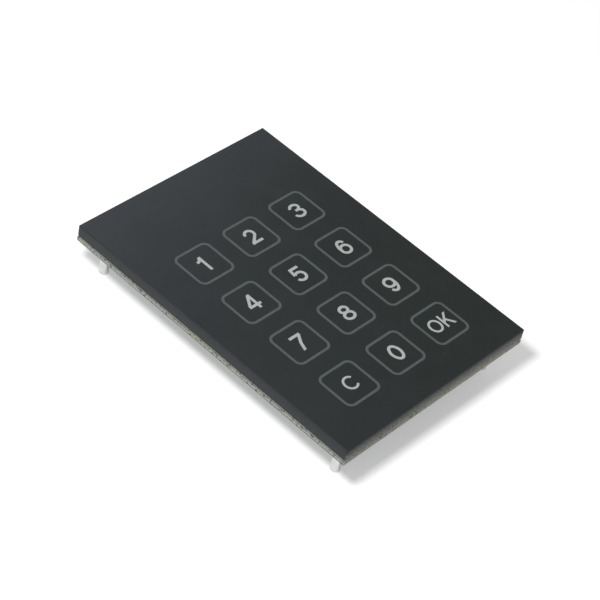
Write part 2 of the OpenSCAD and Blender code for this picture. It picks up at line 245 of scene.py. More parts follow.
@dataclass(frozen=True)
class SatinAcrylic(Finish):
    """Cast acrylic with a satin outer face: near black, with a soft gloss and a few pale specks of dust."""

    name: str = "satin_cast_acrylic"
    slot: str = "black_acrylic"
    colours: tuple[str, str] = ("#191f1d", "#1d2321")
    cloud: float = 9.0
    roughness: Pair = (0.13, 0.17)
    grain: Pair = (0.12, 0.0006)
    ior: float = 1.49
    speck: str = "#59605d"
    speck_share: float = 0.5
    speck_spacing: float = 4.5
    speck_reach: float = 0.045

    def layers(self, tree: NodeTree, place: NodeSocket) -> Layers:
        """Lay specks over the clouds, drawn wider than real dust so that they show.

        Args:
            tree: The material's tree.
            place: Coordinates of the surface.

        Returns:
            Share and colour of each layer, from the lowest up.
        """
        cells = add_node(tree, "ShaderNodeTexVoronoi", {
            "Vector": place, "Scale": per_metre(self.speck_spacing)})
        near = add_node(tree, "ShaderNodeMapRange", {
            "Value": cells.outputs["Distance"],
            "From Min": self.speck_reach, "From Max": 0.0, "To Max": self.speck_share,
        }, interpolation_type="SMOOTHSTEP").outputs["Result"]
        return [*super().layers(tree, place), (near, self.speck)]


@dataclass(frozen=True)
class SawnAcrylic(Finish):
    """Sawn edge of the acrylic: black with upright tool marks, and a painted sheen that grows paler towards
    the lower rim, a painted reflection of the bright table.

    Its saw dust shines less than the sheet, so its index lies below the sheet's 1.49.
    """

    name: str = "sawn_acrylic"
    slot: str = "black_acrylic"
    colours: tuple[str, str] = ("#1a1e21", "#20252a")
    cloud: float = 2.5
    roughness: Pair = (0.29, 0.39)
    grain: Pair = (0.16, 0.004)
    ior: float = 1.3
    # Painted sheen: a pale colour painted over the lower rim as a painted reflection of the bright table,
    # its share, and the heights where it is whole and where it is gone
    painted_sheen: str = "#55585c"
    painted_sheen_share: float = 0.28
    painted_sheen_reach: Pair = (10.6, 13.6)
    sheen_patch: float = 0.5
    sheen_patch_gap: float = 0.75
    mark_length: float = 20.0

    def layers(self, tree: NodeTree, place: NodeSocket) -> Layers:
        """Lay a painted sheen over the clouds, a painted reflection that grows towards the lower rim and
        thins between patches.

        Args:
            tree: The material's tree.
            place: Coordinates of the surface.

        Returns:
            Share and colour of each layer, from the lowest up.
        """
        height = add_node(tree, "ShaderNodeSeparateXYZ", {"Vector": place}).outputs["Z"]
        # The sheen is painted reflection: it grows towards the lower rim and is broken into patches
        shares = (self.painted_sheen_share * (1 - self.sheen_patch_gap), self.painted_sheen_share)
        most = patches(tree, place, self.sheen_patch, rise=(0.35, 0.65), shares=shares)
        low = add_node(tree, "ShaderNodeMapRange", {
            "Value": height, "From Min": self.painted_sheen_reach[1] * MM, "From Max": self.painted_sheen_reach[0] * MM,
            "To Max": most,
        }).outputs["Result"]
        return [*super().layers(tree, place), (low, self.painted_sheen)]

    def relief(self, tree: NodeTree, place: NodeSocket) -> NodeSocket:
        """Draw the grain out along the panel's thickness, into tool marks.

        Args:
            tree: The material's tree.
            place: Coordinates of the surface.

        Returns:
            Height of the marks.
        """
        drawn = add_node(tree, "ShaderNodeMapping", {
            "Vector": place, "Scale": (1.0, 1.0, 1 / self.mark_length)})
        return super().relief(tree, drawn.outputs["Vector"])


@dataclass(frozen=True)
class ScreenInk(Finish):
    """Screen-printed ink: matt, a little uneven where the mesh laid it thinner."""

    name: str = "screen_ink"
    slot: str = "key_ink"
    colours: tuple[str, str] = ("#4f5554", "#474d4c")
    cloud: float = 0.5
    roughness: Pair = (0.45, 0.55)
    grain: Pair = (0.12, 0.004)


@dataclass(frozen=True)
class AdhesiveFilm(Finish):
    """Clear double-sided film: a milky grey line of cut adhesive between panel and board."""

    name: str = "adhesive_film"
    slot: str = "adhesive"
    colours: tuple[str, str] = ("#9b9d97", "#858780")
    cloud: float = 0.8
    roughness: Pair = (0.35, 0.55)
    grain: Pair = (0.2, 0.01)


@dataclass(frozen=True)
class CopperFoil(Finish):
    """Rolled copper foil: warm metal with a soft brushed shine."""

    name: str = "copper_foil"
    slot: str = "copper"
    colours: tuple[str, str] = ("#d9906a", "#c67b55")
    cloud: float = 2.0
    roughness: Pair = (0.26, 0.38)
    grain: Pair = (0.1, 0.002)
    metallic: float = 1.0


@dataclass(frozen=True)
class SolderMask(Finish):
    """Green solder mask on the laminate: a glossy lacquer, with the glass weave just showing through."""

    name: str = "solder_mask"
    slot: str = "glass_epoxy"
    colours: tuple[str, str] = ("#17492d", "#1b5334")
    cloud: float = 7.0
    roughness: Pair = (0.24, 0.32)
    grain: Pair = (0.4, 0.003)
    ior: float = 1.52
    weave: float = 0.55
    weave_share: float = 0.12
    waver: float = 0.6
    weave_gap: str = "#001a00"

    def layers(self, tree: NodeTree, place: NodeSocket) -> Layers:
        """Lay a darker green over the clouds between the yarns of the glass cloth, which run both ways.

        Args:
            tree: The material's tree.
            place: Coordinates of the surface.

        Returns:
            Share and colour of each layer, from the lowest up.
        """
        layers = super().layers(tree, place)
        for direction in ("X", "Y"):
            yarn = add_node(tree, "ShaderNodeTexWave", {
                "Vector": place, "Scale": WAVE_PERIOD * per_metre(self.weave), "Distortion": self.waver,
            }, bands_direction=direction)
            share = add_node(tree, "ShaderNodeMapRange", {
                "Value": yarn.outputs["Fac"], "To Max": self.weave_share})
            layers.append((share.outputs["Result"], self.weave_gap))
        return layers


@dataclass(frozen=True)
class MaskedCopper(Finish):
    """Copper under the solder mask: the same lacquer, a brighter green where the metal backs it."""

    name: str = "masked_copper"
    slot: str = "glass_epoxy"
    colours: tuple[str, str] = ("#2f7f4a", "#2a7343")
    cloud: float = 4.0
    roughness: Pair = (0.24, 0.32)
    grain: Pair = (0.3, 0.002)
    ior: float = 1.52


@dataclass(frozen=True)
class ScoreCut(Finish):
    """Flank of a score cut in the glass laminate: grey ground glass, olive where more resin shows.

    It is quite matt, with dark chips torn out.
    """

    name: str = "scored_laminate"
    slot: str = "glass_epoxy"
    colours: tuple[str, str] = ("#8a8d87", "#727570")
    cloud: float = 0.6
    roughness: Pair = (0.72, 0.88)
    grain: Pair = (0.12, 0.04)
    resin: str = "#878a77"
    resin_patch: float = 16.0
    resin_from: float = 0.5
    chip: str = "#45473f"
    chip_size: float = 0.65
    chip_from: float = 0.55
    fringe: float = 0.08

    def layers(self, tree: NodeTree, place: NodeSocket) -> Layers:
        """Lay patches of resin over the clouds, and chips over these.

        Args:
            tree: The material's tree.
            place: Coordinates of the surface.

        Returns:
            Share and colour of each layer, from the lowest up.
        """
        layers = super().layers(tree, place)
        for size, start, colour in (
            (self.resin_patch, self.resin_from, self.resin), (self.chip_size, self.chip_from, self.chip),
        ):
            share = patches(tree, place, size, rise=(start, start + self.fringe))
            layers.append((share, colour))
        return layers


@dataclass(frozen=True)
class SnappedLaminate(ScoreCut):
    """Web that was left between the score cuts and snapped: whitish torn glass, with pits."""

    name: str = "snapped_laminate"
    colours: tuple[str, str] = ("#b6b9b2", "#969993")
    resin: str = "#a8ab98"


@dataclass(frozen=True)
class TurnedNickel(Finish):
    """Bright nickel on turned steel: nearly a mirror, with the fine rings of the lathe round it."""

    name: str = "turned_nickel"
    slot: str = "nickel_plate"
    colours: tuple[str, str] = ("#d6d6d7", "#c8c7c6")
    cloud: float = 1.5
    roughness: Pair = (0.03, 0.07)
    grain: Pair = (0.3, 0.003)
    metallic: float = 1.0
    waver: float = 0.3

    def relief(self, tree: NodeTree, place: NodeSocket) -> NodeSocket:
        """Stack rings one above the other, drawn coarser than a real tool's feed so that they show.

        Args:
            tree: The material's tree.
            place: Coordinates of the surface.

        Returns:
            Height of the rings.
        """
        return add_node(tree, "ShaderNodeTexWave", {
            "Vector": place, "Scale": WAVE_PERIOD * per_metre(self.grain[0]), "Distortion": self.waver,
        }, bands_direction="Z").outputs["Fac"]


@dataclass(frozen=True)
class TinPlate(Finish):
    """Matt tin plate on formed leads: pale grey metal, a little milky."""

    name: str = "matt_tin_plate"
    slot: str = "tinned_lead"
    colours: tuple[str, str] = ("#c6c6c2", "#b2b2af")
    cloud: float = 0.5
    roughness: Pair = (0.28, 0.44)
    grain: Pair = (0.06, 0.002)
    metallic: float = 1.0


@dataclass(frozen=True)
class Solder(Finish):
    """Reflowed solder: bright metal with faint wrinkles from its freezing."""

    name: str = "reflowed_solder"
    slot: str = "tinned_lead"
    colours: tuple[str, str] = ("#cdcdc9", "#bdbdb8")
    cloud: float = 0.4
    roughness: Pair = (0.14, 0.3)
    grain: Pair = (0.15, 0.006)
    metallic: float = 1.0


@dataclass(frozen=True)
class MouldedEpoxy(Finish):
    """Black epoxy of a moulded package: matt, with the fine spark-eroded texture of its mould."""

    name: str = "moulded_epoxy"
    slot: str = "black_epoxy"
    colours: tuple[str, str] = ("#222325", "#1c1d1f")
    cloud: float = 1.2
    roughness: Pair = (0.49, 0.61)
    grain: Pair = (0.07, 0.006)


@dataclass(frozen=True)
class AmberEpoxy(Finish):
    """Amber epoxy of a supply capacitor, with the printed brown bar that marks its positive end."""

    name: str = "amber_epoxy"
    slot: str = "yellow_epoxy"
    colours: tuple[str, str] = ("#c98f33", "#bd8229")
    cloud: float = 1.0
    roughness: Pair = (0.37, 0.47)
    grain: Pair = (0.08, 0.004)
    bar: str = "#5e3713"
    bar_middle: float = 0.0
    bar_half: float = 0.25

    def layers(self, tree: NodeTree, place: NodeSocket) -> Layers:
        """Lay the bar over the clouds, across Y.

        Args:
            tree: The material's tree.
            place: Coordinates of the surface.

        Returns:
            Share and colour of each layer, from the lowest up.
        """
        along = add_node(tree, "ShaderNodeSeparateXYZ", {"Vector": place}).outputs["Y"]
        inside = add_node(tree, "ShaderNodeMath", {
            0: along, 1: self.bar_middle * MM, 2: self.bar_half * MM}, operation="COMPARE").outputs["Value"]
        return [*super().layers(tree, place), (inside, self.bar)]


@dataclass(frozen=True)
class Alumina(Finish):
    """Fired alumina of a chip resistor: a dense, chalky white."""

    name: str = "fired_alumina"
    slot: str = "resistor_glaze"
    colours: tuple[str, str] = ("#e4e2dc", "#d6d3cb")
    cloud: float = 0.5
    roughness: Pair = (0.45, 0.55)
    grain: Pair = (0.05, 0.002)


@dataclass(frozen=True)
class ResistorGlaze(Finish):
    """Black overglaze on a chip resistor's outer face: glassy, with a slight orange peel."""

    name: str = "resistor_overglaze"
    slot: str = "resistor_glaze"
    colours: tuple[str, str] = ("#1c1c1e", "#242427")
    cloud: float = 0.6
    roughness: Pair = (0.15, 0.25)
    grain: Pair = (0.2, 0.006)


@dataclass(frozen=True)
class CapacitorCeramic(Finish):
    """Sintered ceramic of a chip capacitor: even tan, between matt and glossy."""

    name: str = "capacitor_ceramic"
    slot: str = "chip_ceramic"
    colours: tuple[str, str] = ("#a5845c", "#97774f")
    cloud: float = 0.7
    roughness: Pair = (0.34, 0.46)
    grain: Pair = (0.08, 0.003)


@dataclass(frozen=True)
class NaturalNylon(Finish):
    """Natural nylon of the connector's shroud: creamy white that lets a little light in."""

    name: str = "natural_nylon"
    slot: str = "nylon"
    colours: tuple[str, str] = ("#e8e3d3", "#e0dac7")
    cloud: float = 3.0
    roughness: Pair = (0.33, 0.43)
    grain: Pair = (0.15, 0.004)
    subsurface: float = 0.1


@dataclass(frozen=True)
class LegendWhite(Finish):
    """White epoxy ink on the solder mask: opaque, matt, with a slightly rough edge."""

    name: str = "silkscreen_white"
    slot: str = "key_ink"
    colours: tuple[str, str] = ("#e6e8e2", "#d9dbd4")
    cloud: float = 0.4
    roughness: Pair = (0.55, 0.65)
    grain: Pair = (0.1, 0.004)


@dataclass(frozen=True)
class Box:
    """A box along the frame's axes, in millimetres."""

    low: Vector
    high: Vector

    @classmethod
    def of(cls, node: str) -> "Box":
        """Box of a CAD node."""
        low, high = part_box(node)
        return cls(low / MM, high / MM)

    @classmethod
    def round(cls, points: Iterable[Vector]) -> "Box":
        """Smallest box round some points."""
        columns = list(zip(*points))
        return cls(Vector(map(min, columns)), Vector(map(max, columns)))

    @property
    def centre(self) -> Vector:
        """Middle of the box."""
        return (self.low + self.high) / 2

    @property
    def size(self) -> Vector:
        """Lengths of the box's sides."""
        return self.high - self.low

    def grown(self, x: float, y: float) -> "Box":
        """The box with that much more at each side along X and Y."""
        more = Vector((x, y, 0))
        return Box(self.low - more, self.high + more)


def nodes(*ends: str) -> list[str]:
    """Names of the CAD nodes that start or end with one of those words."""
    return [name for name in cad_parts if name.startswith(ends) or name.endswith(ends)]


def islands(node: str, keep: Callable[[BMFace], bool]) -> list[Box]:
    """Find the groups of kept faces that hang together in a CAD node.

    Args:
        node: The CAD node's name.
        keep: Says whether a face counts.

    Returns:
        The box round each group, row by row from the upper left.
    """
    bm = bmesh.new()
    bm.from_mesh(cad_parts[node].data)
    bmesh.ops.scale(bm, vec=(1 / MM,) * 3, verts=bm.verts)
    bmesh.ops.remove_doubles(bm, verts=bm.verts, dist=MERGE)
    waiting = {face for face in bm.faces if keep(face)}
    boxes = []
    while waiting:
        edge_of_group = [waiting.pop()]
        corners = []
        while edge_of_group:
            face = edge_of_group.pop()
            corners.extend(vert.co.copy() for vert in face.verts)
            beside = {other for edge in face.edges for other in edge.link_faces} & waiting
            waiting -= beside
            edge_of_group.extend(beside)
        boxes.append(Box.round(corners))
    bm.free()
    return sorted(boxes, key=lambda box: (-round(box.centre.y, 1), box.centre.x))


def solids(node: str) -> list[Box]:
    """Boxes of the separate solids in a CAD node, row by row from the upper left."""
    return islands(node, lambda face: True)


def contacts(node: str) -> list[Box]:
    """Boxes of the flat patches with which a part lies on the board's back."""
    back = Box.of("circuit_board").low.z
    return islands(node, lambda face: all(abs(vert.co.z - back) < MERGE for vert in face.verts))


def feet(node: str) -> list[Vector]:
    """Middles of a part's soldered feet, row by row from the upper left."""
    return [patch.centre for patch in contacts(node)]


def settle(name: str, bm: BMesh) -> Mesh:
    """Turn a bmesh into mesh data.

    An extrusion makes its side faces in another order each run. They are put in order here, since a
    union of two solids depends on it.

    Args:
        name: Name of the data.
        bm: The bmesh, which is freed.

    Returns:
        The mesh data.
    """
    bm.verts.index_update()
    for parts in (bm.edges, bm.faces):
        for i, part in enumerate(sorted(parts, key=lambda part: sorted(vert.index for vert in part.verts))):
            part.index = i
        parts.sort()
    mesh = bpy.data.meshes.new(name)
    bm.to_mesh(mesh)
    bm.free()
    return mesh


def show(name: str, data: Any) -> Object:
    """Put mesh, camera or lamp data into the scene.

    Args:
        name: Name of the object.
        data: What the object shows.

    Returns:
        The object.
    """
    thing = bpy.data.objects.new(name, data)
    bpy.context.scene.collection.objects.link(thing)
    return thing


def add_piece(name: str, bm: BMesh, finish: Finish) -> None:
    """Turn a closed mesh in millimetres into a finished piece that rides on the keypad.

    Args:
        name: The piece's name.
        bm: Its mesh, which is freed.
        finish: What it is made of.
    """
    bmesh.ops.scale(bm, vec=(MM,) * 3, verts=bm.verts)
    bmesh.ops.recalc_face_normals(bm, faces=bm.faces)
    piece = show(name, settle(name, bm))
    piece.data.materials.append(finish.material())
    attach(piece, BODY)
    log.info("%s: %d faces, %s", name, len(piece.data.polygons), finish.name)


def dress(node: str, finishes: Sequence[Finish], choose: Callable[[MeshPolygon], int] | None = None) -> None:
    """Give a CAD node its finishes.

    Args:
        node: The CAD node's name.
        finishes: Its finishes.
        choose: Says which of them a face takes, by its index; without it, all take the first.
    """
    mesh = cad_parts[node].data
    mesh.materials.clear()
    for finish in finishes:
        mesh.materials.append(finish.material())
    for side in mesh.polygons:
        side.material_index = int(choose(side)) if choose else 0
    log.info("%s: %s", node, ", ".join(finish.name for finish in finishes))


def only_verts(parts: Iterable[Any]) -> list[BMVert]:
    """Vertices among the vertices, edges and faces that an operator made."""
    return [part for part in parts if isinstance(part, BMVert)]


def cut(bm: BMesh, point: Pair, away: Pair, trim: bool = False) -> None:
    """Cut a flat mesh along an upright plane.

    Args:
        bm: The mesh on the XY plane.
        point: A point of the plane.
        away: Direction across the plane.
        trim: Says whether what lies on that side is removed.
    """
    bmesh.ops.bisect_plane(
        bm, geom=[*bm.verts, *bm.edges, *bm.faces], dist=MERGE, plane_co=(*point, 0), plane_no=(*away, 0),
        clear_outer=trim)


def thicken(bm: BMesh, height: float) -> None:
    """Close a flat mesh on the XY plane into a slab.

    Args:
        bm: The flat mesh.
        height: Height of the slab.
    """
    top = only_verts(bmesh.ops.extrude_face_region(bm, geom=bm.faces[:])["geom"])
    bmesh.ops.translate(bm, verts=top, vec=(0, 0, height))
    bmesh.ops.recalc_face_normals(bm, faces=bm.faces)


def gather(parts: Iterable[BMesh]) -> BMesh:
    """Collect separate meshes in one.

    Args:
        parts: The meshes, which are freed.

    Returns:
        The one mesh.
    """
    whole = bmesh.new()
    for part in parts:
        mesh = settle("part", part)
        whole.from_mesh(mesh)
        bpy.data.meshes.remove(mesh)
    return whole


def unite(parts: Iterable[BMesh]) -> BMesh:
    """Join overlapping solids into one that has no walls inside.

    Args:
        parts: The solids, which are freed.

    Returns:
        The joined solid.
    """
    first, *others = (show("stroke", settle("stroke", part)) for part in parts)
    for other in others:
        join = first.modifiers.new("join", "BOOLEAN")
        join.operation = "UNION"
        join.solver = "EXACT"
        join.object = other
    whole = bmesh.new()
    whole.from_object(first, bpy.context.evaluated_depsgraph_get())
    bmesh.ops.remove_doubles(whole, verts=whole.verts, dist=MERGE)
    for used in (first, *others):
        bpy.data.meshes.remove(used.data)
    return whole


@dataclass(frozen=True)
class Run:
    """Straight move of a pen."""

    length: float


@dataclass(frozen=True)
class Bend:
    """Round move of a pen, to the left where the turn is positive."""

    radius: float
    turn: float


class Pen:
    """Draws a strip of even width on the XY plane, with straight and round moves."""

    DEGREES_A_STEP: ClassVar[float] = 10.0

    def __init__(self, width: float, start: Sequence[float], heading: float) -> None:
        """Set the pen down.

        Args:
            width: Width of the strip.
            start: Where its middle line starts.
            heading: Direction of the first move, from +X towards +Y.
        """
        self.bm = bmesh.new()
        self.at = Vector((start[0], start[1], 0))
        self.heading = math.radians(heading)
        side = self.left() * width / 2
        nib = [self.bm.verts.new(self.at + side), self.bm.verts.new(self.at - side)]
        self.tip: list[Any] = [*nib, self.bm.edges.new(nib)]

    def left(self) -> Vector:
        """Direction to the left of travel."""
        return Vector((-math.sin(self.heading), math.cos(self.heading), 0))

    def draw(self, moves: Iterable[Run | Bend]) -> BMesh:
        """Make some moves.

        Args:
            moves: The moves, in order.

        Returns:
            The flat strip, with the ends of a closed one joined.
        """
        for move in moves:
            if isinstance(move, Run):
                self.run(move.length)
            else:
                self.bend(move.radius, math.radians(move.turn))
        bmesh.ops.remove_doubles(self.bm, verts=self.bm.verts, dist=MERGE)
        return self.bm

    def run(self, length: float) -> None:
        """Pull the strip straight ahead.

        Args:
            length: Length of the move.
        """
        step = Vector((math.cos(self.heading), math.sin(self.heading), 0)) * length
        ends = only_verts(bmesh.ops.extrude_edge_only(self.bm, edges=self.tip[2:])["geom"])
        bmesh.ops.translate(self.bm, verts=ends, vec=step)
        self.tip = [*ends, self.bm.edges.get(ends)]
        self.at += step

    def bend(self, radius: float, turn: float) -> None:
        """Pull the strip round a centre beside it.

        Args:
            radius: Radius of the middle line.
            turn: Angle in radians, to the left where it is positive.
        """
        centre = self.at + self.left() * math.copysign(radius, turn)
        steps = max(1, round(abs(math.degrees(turn)) / self.DEGREES_A_STEP))
        self.tip = bmesh.ops.spin(
            self.bm, geom=self.tip, cent=centre, axis=(0, 0, 1), angle=turn, steps=steps,
            use_merge=False, use_duplicate=False,
        )["geom_last"]
        self.at = centre + Matrix.Rotation(turn, 3, "Z") @ (self.at - centre)
        self.heading += turn


def strip(points: Sequence[Sequence[float]], width: float, radius: float) -> BMesh:
    """Draw a flat strip along a line of points, with its corners rounded.

    Args:
        points: The ends and corners of the middle line.
        width: Width of the strip.
        radius: Radius of the middle line at each corner.

    Returns:
        The strip on the XY plane.
    """
    corners = [Vector(point[:2]) for point in points]
    legs = [after - before for before, after in zip(corners, corners[1:])]
    turns = [math.degrees(-first.angle_signed(second)) for first, second in zip(legs, legs[1:])]
    cuts = [0.0, *(radius * math.tan(math.radians(abs(turn)) / 2) for turn in turns), 0.0]
    heading = math.degrees(math.atan2(legs[0].y, legs[0].x))
    moves: list[Run | Bend] = []
    for i, leg in enumerate(legs):
        moves.append(Run(leg.length - cuts[i] - cuts[i + 1]))
        if i < len(turns) and abs(turns[i]) > 0:
            moves.append(Bend(radius, turns[i]))
    return Pen(width, corners[0], heading).draw(moves)


@dataclass(frozen=True)
class Stroke:
    """One stroke of a figure or letter: a strip that may be trimmed to a box of x and y limits."""

    start: Pair
    heading: float
    moves: tuple[Run | Bend, ...]
    within: Limits | None = None

    @classmethod
    def line(cls, start: Pair, end: Pair, within: Limits | None = None) -> "Stroke":
        """Straight stroke between two points."""
        leg = Vector(end) - Vector(start)
        return cls(start, math.degrees(math.atan2(leg.y, leg.x)), (Run(leg.length),), within)

    def turned(self) -> "Stroke":
        """The stroke after half a turn about the origin."""
        return Stroke((-self.start[0], -self.start[1]), self.heading + 180, self.moves)

    def slab(self, width: float, height: float) -> BMesh:
        """Draw the stroke as a closed slab that stands on the XY plane.

        Args:
            width: Width of the stroke.
            height: Thickness of the ink.

        Returns:
            The slab.
        """
        bm = Pen(width, self.start, self.heading).draw(self.moves)
        if self.within:
            x0, y0, x1, y1 = self.within
            sides = (((x0, 0), (-1, 0)), ((x1, 0), (1, 0)), ((0, y0), (0, -1)), ((0, y1), (0, 1)))
            for point, away in sides:
                cut(bm, point, away, trim=True)
        thicken(bm, height)
        return bm


@dataclass(frozen=True)
class Oval:
    """Oval made of four round arcs, as a letter's bowl is drawn.

    The tight arcs are a little rounder than an ellipse's, but never as wide as the oval itself.
    """

    centre: Pair
    half_w: float
    half_h: float

    ROUNDER: ClassVar[float] = 1.05
    WIDEST: ClassVar[float] = 0.985

    def radii(self) -> Pair:
        """Work out the radii of the arcs.

        Returns:
            The radius at the sides, and that at the top and bottom.
        """
        short, long = sorted((self.half_w, self.half_h))
        tight = min(self.ROUNDER * short * short / long, self.WIDEST * short)
        flat = (short ** 2 + (long - tight) ** 2 - tight ** 2) / (2 * (short - tight))
        return (flat, tight) if self.half_h >= self.half_w else (tight, flat)

    def joint(self) -> float:
        """Angle above the X axis at which a side's arc meets the top's."""
        side, end = self.radii()
        return math.degrees(math.atan2(abs(self.half_h - end), abs(side - self.half_w)))

    def point(self, angle: float) -> Pair:
        """Find the point of the oval that faces a direction.

        Args:
            angle: Angle of the outward direction.

        Returns:
            The point's x and y.
        """
        side, end = self.radii()
        x, y = math.cos(math.radians(angle)), math.sin(math.radians(angle))
        if abs(math.degrees(math.asin(y))) < self.joint():
            return (self.centre[0] + math.copysign(1, x) * (self.half_w - side) + side * x,
                    self.centre[1] + side * y)
        return self.centre[0] + end * x, self.centre[1] + math.copysign(1, y) * (self.half_h - end) + end * y

    def stroke(
        self, start: float, sweep: float, tail: tuple[Run, ...] = (), within: Limits | None = None
    ) -> Stroke:
        """Stroke that follows the oval.

        Args:
            start: Angle of the outward direction at its start.
            sweep: Angle that it goes round, to the left where it is positive.
            tail: Straight moves after it.
            within: Box that trims it.

        Returns:
            The stroke.
        """
        side, end = self.radii()
        sense = math.copysign(1, sweep)
        joints = sorted(
            sense * (turn + half + sign * self.joint())
            for turn in (-720, -360, 0, 360, 720) for half in (0, 180) for sign in (-1, 1))
        stops = [sense * start, *(j for j in joints if sense * start < j < sense * (start + sweep)),
                 sense * (start + sweep)]
        moves = []
        for before, after in zip(stops, stops[1:]):
            middle = math.radians((before + after) / 2)
            steep = abs(math.degrees(math.asin(math.sin(middle))))
            moves.append(Bend(side if steep < self.joint() else end, sense * (after - before)))
        return Stroke(self.point(start), start + sense * 90, (*moves, *tail), within)


@dataclass(frozen=True)
class Lettering:
    """Plain upright figures and capitals, drawn stroke by stroke about the middle of a key."""

    figure_height: float = 4.7
    figure_stroke: float = 0.72
    capital_height: float = 3.98
    capital_stroke: float = 0.56
    bar_half: float = 1.6
    bowl_half: float = 1.33
    bowl_rise: float = 1.27

    @property
    def half(self) -> float:
        """Half of a figure's height."""
        return self.figure_height / 2

    @property
    def line(self) -> float:
        """Height of the middle of a figure's top stroke above its middle."""
        return (self.figure_height - self.figure_stroke) / 2

    def band(self, left: float, right: float) -> Limits:
        """Limits of a stroke that is trimmed at a figure's top and bottom."""
        return left, -self.half, right, self.half

    def one(self) -> tuple[Stroke, ...]:
        """1: a stem, and a flag that curves up into it.

        Returns:
            Its strokes.
        """
        stem = 0.05
        edge = stem + self.figure_stroke / 2
        return (
            Stroke.line((stem, -self.half), (stem, self.half)),
            Stroke((-1.45, 1.06), 8, (Run(0.3), Bend(1.25, 58), Run(1.0)), self.band(-1.45, edge)),
        )

    def two(self) -> tuple[Stroke, ...]:
        """2: a round bowl that runs down into a diagonal, on a bar.

        Returns:
            Its strokes.
        """
        rise, base = 1.2, 0.03 - self.line
        bowl = Oval((-0.08, self.line - rise), 1.23, rise)
        return (
            bowl.stroke(176, -225, (Run(3.6),), self.band(-self.bar_half, self.bar_half)),
            Stroke.line((-self.bar_half, base), (self.bar_half, base)),
        )

    def three(self) -> tuple[Stroke, ...]:
        """3: a small bowl on a larger one, both open to the left.

        Returns:
            Its strokes.
        """
        waist = 0.14
        upper = Oval((-0.06, (self.line + waist) / 2), 1.22, (self.line - waist) / 2)
        lower = Oval((-0.04, (waist - self.line) / 2), self.bowl_half + 0.05, (self.line + waist) / 2)
        return (
            upper.stroke(174, -264, (Run(0.4),)),
            lower.stroke(90, -268),
            Stroke.line((-0.4, waist), (0.2, waist)),
        )

    def four(self) -> tuple[Stroke, ...]:
        """4: a stem, a bar and a diagonal that closes them.

        Returns:
            Its strokes.
        """
        stem, bar, left = 0.62, -1.13, -1.75
        low, edge = bar - self.figure_stroke / 2, stem + self.figure_stroke / 2
        return (
            Stroke.line((stem, -self.half), (stem, self.half)),
            Stroke.line((left, bar), (1.72, bar)),
            Stroke.line((left, -1.3), (1.1, 2.95), (left, low, edge, self.half)),
        )

    def five(self) -> tuple[Stroke, ...]:
        """5: a bar, a leaning stem and an open bowl.

        Returns:
            Its strokes.
        """
        bowl = Oval((-0.05, self.bowl_rise - self.line), self.bowl_half, self.bowl_rise)
        return (
            Stroke.line((-0.95, self.line), (1.42, self.line)),
            Stroke.line((-0.9, self.half), (-1.2, 0.02), self.band(-2, 2)),
            bowl.stroke(142, -302),
        )

    def six(self) -> tuple[Stroke, ...]:
        """6: a closed bowl under a hook.

        Returns:
            Its strokes.
        """
        bowl = Oval((0, self.bowl_rise - self.line), self.bowl_half, self.bowl_rise)
        hook = Oval((0, 0), self.bowl_half, self.line)
        return (bowl.stroke(0, 360), hook.stroke(28, 172))

    def seven(self) -> tuple[Stroke, ...]:
        """7: a bar, and a leg that falls away in a slight curve.

        Returns:
            Its strokes.
        """
        return (
            Stroke.line((-self.bar_half, self.line), (self.bar_half, self.line)),
            Stroke((1.5, 2.1), -128, (Run(0.9), Bend(9.0, 25), Run(1.0)), self.band(-2, 1.62)),
        )

    def eight(self) -> tuple[Stroke, ...]:
        """8: a small bowl on a larger one, both closed.

        Returns:
            Its strokes.
        """
        waist = 0.15
        upper = Oval((0, (self.line + waist) / 2), 1.1, (self.line - waist) / 2)
        lower = Oval((0, (waist - self.line) / 2), self.bowl_half, (self.line + waist) / 2)
        return (upper.stroke(0, 360), lower.stroke(0, 360))

    def nine(self) -> tuple[Stroke, ...]:
        """9: a 6 after half a turn."""
        return tuple(stroke.turned() for stroke in self.six())

    def nought(self) -> tuple[Stroke, ...]:
        """0: a tall oval."""
        return (Oval((0, 0), 1.32, self.line).stroke(0, 360),)

    def letter_c(self) -> tuple[Stroke, ...]:
        """C: a round oval, open to the right."""
        bowl = Oval((0.14, 0), 1.62, (self.capital_height - self.capital_stroke) / 2)
        return (bowl.stroke(37, 286),)

    def letters_ok(self) -> tuple[Stroke, ...]:
        """OK: a wide oval, and a stem with two arms.

        Returns:
            Its strokes.
        """
        half, stem = self.capital_height / 2, 0.84
        arms = (stem, -half, 3.6, half)
        return (
            Oval((-1.68, 0), 1.5, half - self.capital_stroke / 2).stroke(0, 360),
            Stroke.line((stem, -half), (stem, half)),
            Stroke.line((0.56, -0.95), (3.6, 2.55), arms),
            Stroke.line((1.6, 0.55), (3.65, -2.6), arms),
        )


class Legend(Enum):
    """The twelve legends, in the order of the keys, each with the name of the method that draws it."""

    ONE = "one"
    TWO = "two"
    THREE = "three"
    FOUR = "four"
    FIVE = "five"
    SIX = "six"
    SEVEN = "seven"
    EIGHT = "eight"
    NINE = "nine"
    CLEAR = "letter_c"
    NOUGHT = "nought"
    CONFIRM = "letters_ok"


